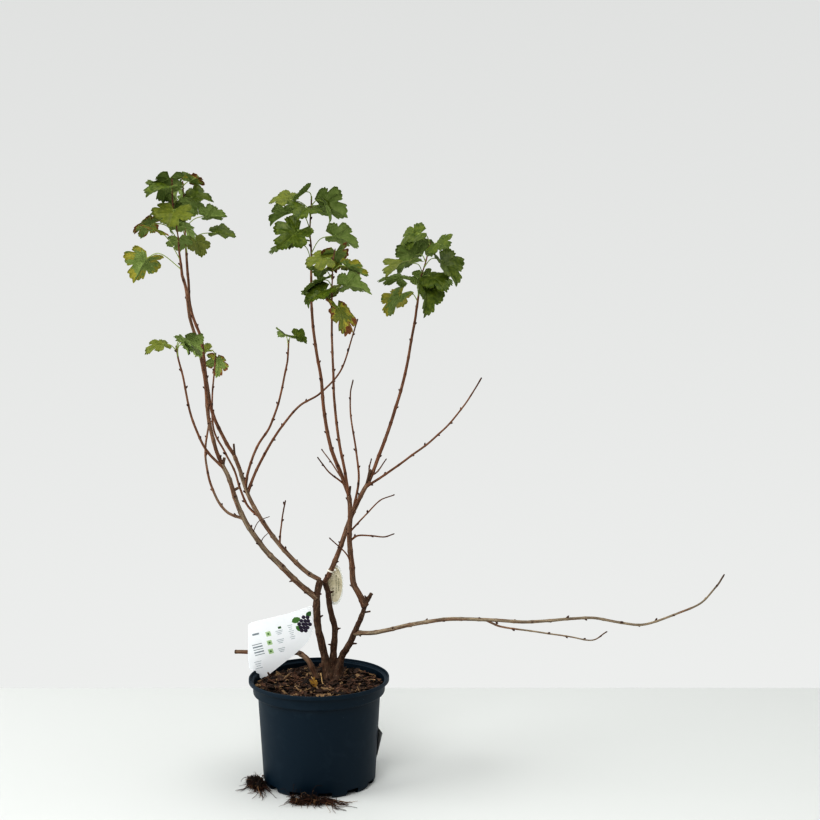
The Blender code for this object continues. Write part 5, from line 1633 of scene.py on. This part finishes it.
def coated_card():
    made, tree, shader = surface("faded coated card", "#cfcfae", 0.6, 1.5)
    place = add(tree, "ShaderNodeTexCoord").outputs["Object"]
    fade = add(tree, "ShaderNodeTexNoise", {"Vector": place, "Scale": 70.0, "Detail": 3.0})
    spread = add(tree, "ShaderNodeMapRange", {"Value": fade.outputs["Fac"], "From Min": 0.4,
                                              "From Max": 0.62})
    mixed = add(tree, "ShaderNodeMix", {"Factor": spread.outputs["Result"],
                                        6: linear("#e0d8c0"), 7: linear("#c2ba9c")},
                data_type="RGBA")
    tree.links.new(mixed.outputs[2], shader.inputs["Base Color"])
    return made


tag_finishes = [coated_card(), surface("white card edge", "#eef0ea", 0.6)[0],
                surface("faded tag ink", "#a7a288", 0.6)[0]]
tag.make("tag_card", tag_finishes, "tag", ["hang_tag"], smooth=False)

# %% [markdown]
# ## The tag's thread
# A cotton thread is wound three times round the right bough, knotted, and run down through the
# tag's hole.  It is not a free cord but a tied loop, so plain thin tubes follow its way.

# %% Thread
THREAD_RADIUS = 0.45
THREAD_SHARE = 0.12         # how far up the bough it is tied
THREAD_TURNS = ((0.0, 4.6), (1.0, 4.5), (-0.9, 4.7))   # place along the bough, radius
THREAD_STEPS = 24

centre, along = point_on(limb_paths["bough_right"], THREAD_SHARE)
out = (hole_middle - centre)
out = (out - along * out.dot(along)).normalized()
across = along.cross(out)
thread = Batch()
for slide, reach in THREAD_TURNS:
    loop = []
    for k in range(THREAD_STEPS + 1):
        turn = 2 * math.pi * k / THREAD_STEPS
        loop.append(centre + along * slide
                    + (out * math.cos(turn) + across * math.sin(turn)) * reach)
    thread.put(*tube(loop, [THREAD_RADIUS] * len(loop), 6, closed_ends=False))
knot = centre + out * 5.2
for lean in (-0.6, 0.6):
    line = smooth_path([knot, knot.lerp(hole_middle, 0.5) + across * lean,
                        hole_middle + tag_normal * 0.8, hole_middle - tag_normal * 0.8], 1.0)
    thread.put(*tube(line, [THREAD_RADIUS] * len(line), 6))
for lean, drop in ((-2.2, -5.5), (2.6, -4.2)):
    line = smooth_path([knot, knot + across * lean * 0.5 + UP * 0.8,
                        knot + across * lean + UP * drop], 1.0)
    thread.put(*tube(line, [THREAD_RADIUS * 0.8] * len(line), 6))
thread.make("thread_loop", [surface("cotton thread", "#ece8dc", 0.9, 1.5)[0]], "thread",
            ["tag_thread"])

# %% [markdown]
# ## The blank sticker
# A paper sticker clings to the right side of the pot, and its front corner has lifted off.  It
# is a bent grid of points with a little thickness, because a decal would have no lifted edge.

# %% Sticker on the pot's wall
STICKER_ANGLES, STICKER_HEIGHTS = (0.0, 36.0), (36.0, 82.0)
STICKER_LIFT, STICKER_LIFT_HEIGHT, STICKER_LIFT_ANGLE, STICKER_THICKNESS = 7.0, 74.0, 16.0, 0.4
STICKER_GAP, STICKER_RIPPLE = 0.3, 0.25   # mm
COLUMNS, ROWS = 28, 22


def wall_radius(height):
    share = min(max((height - 4) / (band_foot - 4), 0.0), 1.0)
    return POT_FOOT + (POT_WALL - POT_FOOT) * share


sticker = Batch()
points, faces = [], []
for skin_side in (0, 1):
    for i in range(COLUMNS):
        turn = STICKER_ANGLES[0] + (STICKER_ANGLES[1] - STICKER_ANGLES[0]) * i / (COLUMNS - 1)
        for j in range(ROWS):
            low, high = STICKER_HEIGHTS
            z = low + (high - low) * j / (ROWS - 1)
            end = high if z > STICKER_LIFT_HEIGHT else low
            near_top = (end - z) / (end - STICKER_LIFT_HEIGHT)
            near_edge = max(0.0, 1 - turn / STICKER_LIFT_ANGLE)
            lift = STICKER_LIFT * near_top * near_edge ** 1.5
            lift += STICKER_RIPPLE * max(0.0, noise.noise(Vector((turn * 0.2, z * 0.09, 4))))
            reach = wall_radius(z) + STICKER_GAP + lift + STICKER_THICKNESS * skin_side
            angle = math.radians(turn)
            points.append(Vector((reach * math.cos(angle), reach * math.sin(angle), z)))
grid = COLUMNS * ROWS
for i in range(COLUMNS - 1):
    for j in range(ROWS - 1):
        a, b = i * ROWS + j, (i + 1) * ROWS + j
        faces.append((a, a + 1, b + 1, b))
        faces.append((grid + a, grid + b, grid + b + 1, grid + a + 1))
rim = [i * ROWS for i in range(COLUMNS)] + [(COLUMNS - 1) * ROWS + j for j in range(1, ROWS)]
rim += [i * ROWS + ROWS - 1 for i in range(COLUMNS - 2, -1, -1)] + list(range(ROWS - 2, 0, -1))
for k, a in enumerate(rim):
    b = rim[(k + 1) % len(rim)]
    faces.append((a, b, grid + b, grid + a))
sticker.put(points, faces)
sticker.make("paper_sticker", [surface("worn paper sticker", "#dcdedb", 0.7, 1.5)[0]], "sticker",
             ["pot_sticker"])

# %% [markdown]
# ## Escaped roots
# Two tufts of root have grown out through the notches and hold crumbs of mix.  Each is a row of
# matted lumps, with hundreds of fine strands that grow out of them, curl about each other and
# end in a fringe on the ground.  A few strands run on along the ground to the right.  A hair
# system would not export, so each strand is a thin tube.

# %% Root tufts
ROOT_TUFTS = (
    # name, direction in degrees, reach, half sizes (out, along, up), strands, seed
    ("root_tuft_left", -159.0, 104.0, (14.0, 20.0, 9.5), 700, 5),
    ("root_tuft_front", -94.0, 105.0, (14.5, 36.0, 6.0), 1100, 11),
)
GROUND_CLEARANCE = 1.2
LONG_STRANDS = 12           # one strand in so many lies long on the ground
POT_CLEARANCE = 2
RUNNER = 20.0               # mm that the strands on the right run on
LUMPS = 9                   # matted lumps along a tuft, which the strands grow out of
LUMP_RINGS, LUMP_SIDES = 10, 14
WET_ROOT, RED_ROOT, DRY_ROOT, ROOT_MIX = range(4)
STRAND_SHARES = (58, 30, 12)   # wet, red and dry strands, out of a hundred
CRUMB_FACES = [(0, 1, 2), (0, 2, 3), (0, 3, 1), (4, 2, 1), (4, 3, 2), (4, 1, 3)]
root_skins = [surface("wet root", "#2e1c15", 0.85, 1.4)[0],
              surface("red root", "#4f3020", 0.85)[0],
              surface("dry root", "#8b6c4c", 0.85)[0], chip_finishes[COMPOST]]


def put_lump(tuft, spot, size, drift):
    """A matted lump of root and mix, rough all over."""
    line = [spot + UP * size * math.cos(math.pi * (k + 0.02) / (LUMP_RINGS - 1 + 0.04))
            for k in range(LUMP_RINGS)]
    radii = [math.sqrt(max(size * size - (p - spot).length_squared, 0.01)) for p in line]
    points, faces = tube(line, radii, LUMP_SIDES)
    for p in points:
        p += (p - spot) * 0.75 * noise.noise(p * 0.45 + Vector((drift, 0, 0)))
        p.z = max(p.z, GROUND_CLEARANCE)
    tuft.put(points, faces, ROOT_MIX)


for name, direction, reach, half, count, seed in ROOT_TUFTS:
    chance = random.Random(seed)
    turn = math.radians(direction)
    out = Vector((math.cos(turn), math.sin(turn), 0))
    side = Vector((-out.y, out.x, 0))
    tuft = Batch()
    lumps = []
    for k in range(LUMPS):
        fan = (2 * k + 1) / LUMPS - 1 + chance.uniform(-0.1, 0.1)
        size = half[2] * chance.uniform(0.55, 0.95) * (1 - 0.35 * abs(fan))
        away = reach - half[0] * chance.uniform(-0.25, 0.65)
        spot = out * away + side * half[1] * fan * 0.85
        spot.z = GROUND_CLEARANCE + size * chance.uniform(0.7, 1.1)
        lumps.append((spot, size))
        put_lump(tuft, spot, size, seed + k * 3.1)
    for k in range(count):
        lump, size = chance.choice(lumps)
        stray = Vector((chance.gauss(0, 1), chance.gauss(0, 1), chance.gauss(0.15, 0.8)))
        aim = (stray.normalized() + out * 0.35).normalized()
        spot = lump + stray.normalized() * size * chance.uniform(0.5, 1.0)
        lies_long = k % LONG_STRANDS == 0
        long = chance.uniform(14, 42) if lies_long else chance.uniform(4, 12)
        if lies_long and lump.dot(side) > 0.5 * half[1]:
            aim = (side + out * chance.uniform(-0.1, 0.4) + UP * 0.25).normalized()
            long += RUNNER
        steps = 9 if lies_long else 6
        line = []
        for step in range(steps):
            flat = math.hypot(spot.x, spot.y)
            short = POT_FOOT + POT_CLEARANCE - flat
            if short > 0:
                spot += Vector((spot.x, spot.y, 0)) / flat * short
            spot.z = max(spot.z, GROUND_CLEARANCE + 0.4)
            line.append(spot.copy())
            aim += Vector((chance.gauss(0, 0.33), chance.gauss(0, 0.33), -0.16))
            spot += aim.normalized() * long / steps
        thick = chance.uniform(0.4, 0.8) if lies_long else chance.uniform(0.16, 0.36)
        tuft.put(*tube(line, [thick * (1 - 0.7 * i / steps) for i in range(steps)], 4),
                 chance.choices((WET_ROOT, RED_ROOT, DRY_ROOT), STRAND_SHARES)[0])
    for k in range(count // 6):
        lump, size = chance.choice(lumps)
        stray = Vector((chance.gauss(0, 1), chance.gauss(0, 1), chance.gauss(0, 0.7)))
        spot = lump + stray * size * 0.8
        grit = chance.uniform(0.8, 2.2)
        spot.z = max(spot.z, GROUND_CLEARANCE + grit)
        crumb = [spot + Vector((chance.uniform(-1, 1), chance.uniform(-1, 1),
                                chance.uniform(-1, 1))).normalized() * grit for _ in range(5)]
        tuft.put(crumb, CRUMB_FACES, chance.choice((RED_ROOT, ROOT_MIX, ROOT_MIX)))
    tuft.make(name.replace("root_tuft", "roots"), root_skins, "roots", [name])
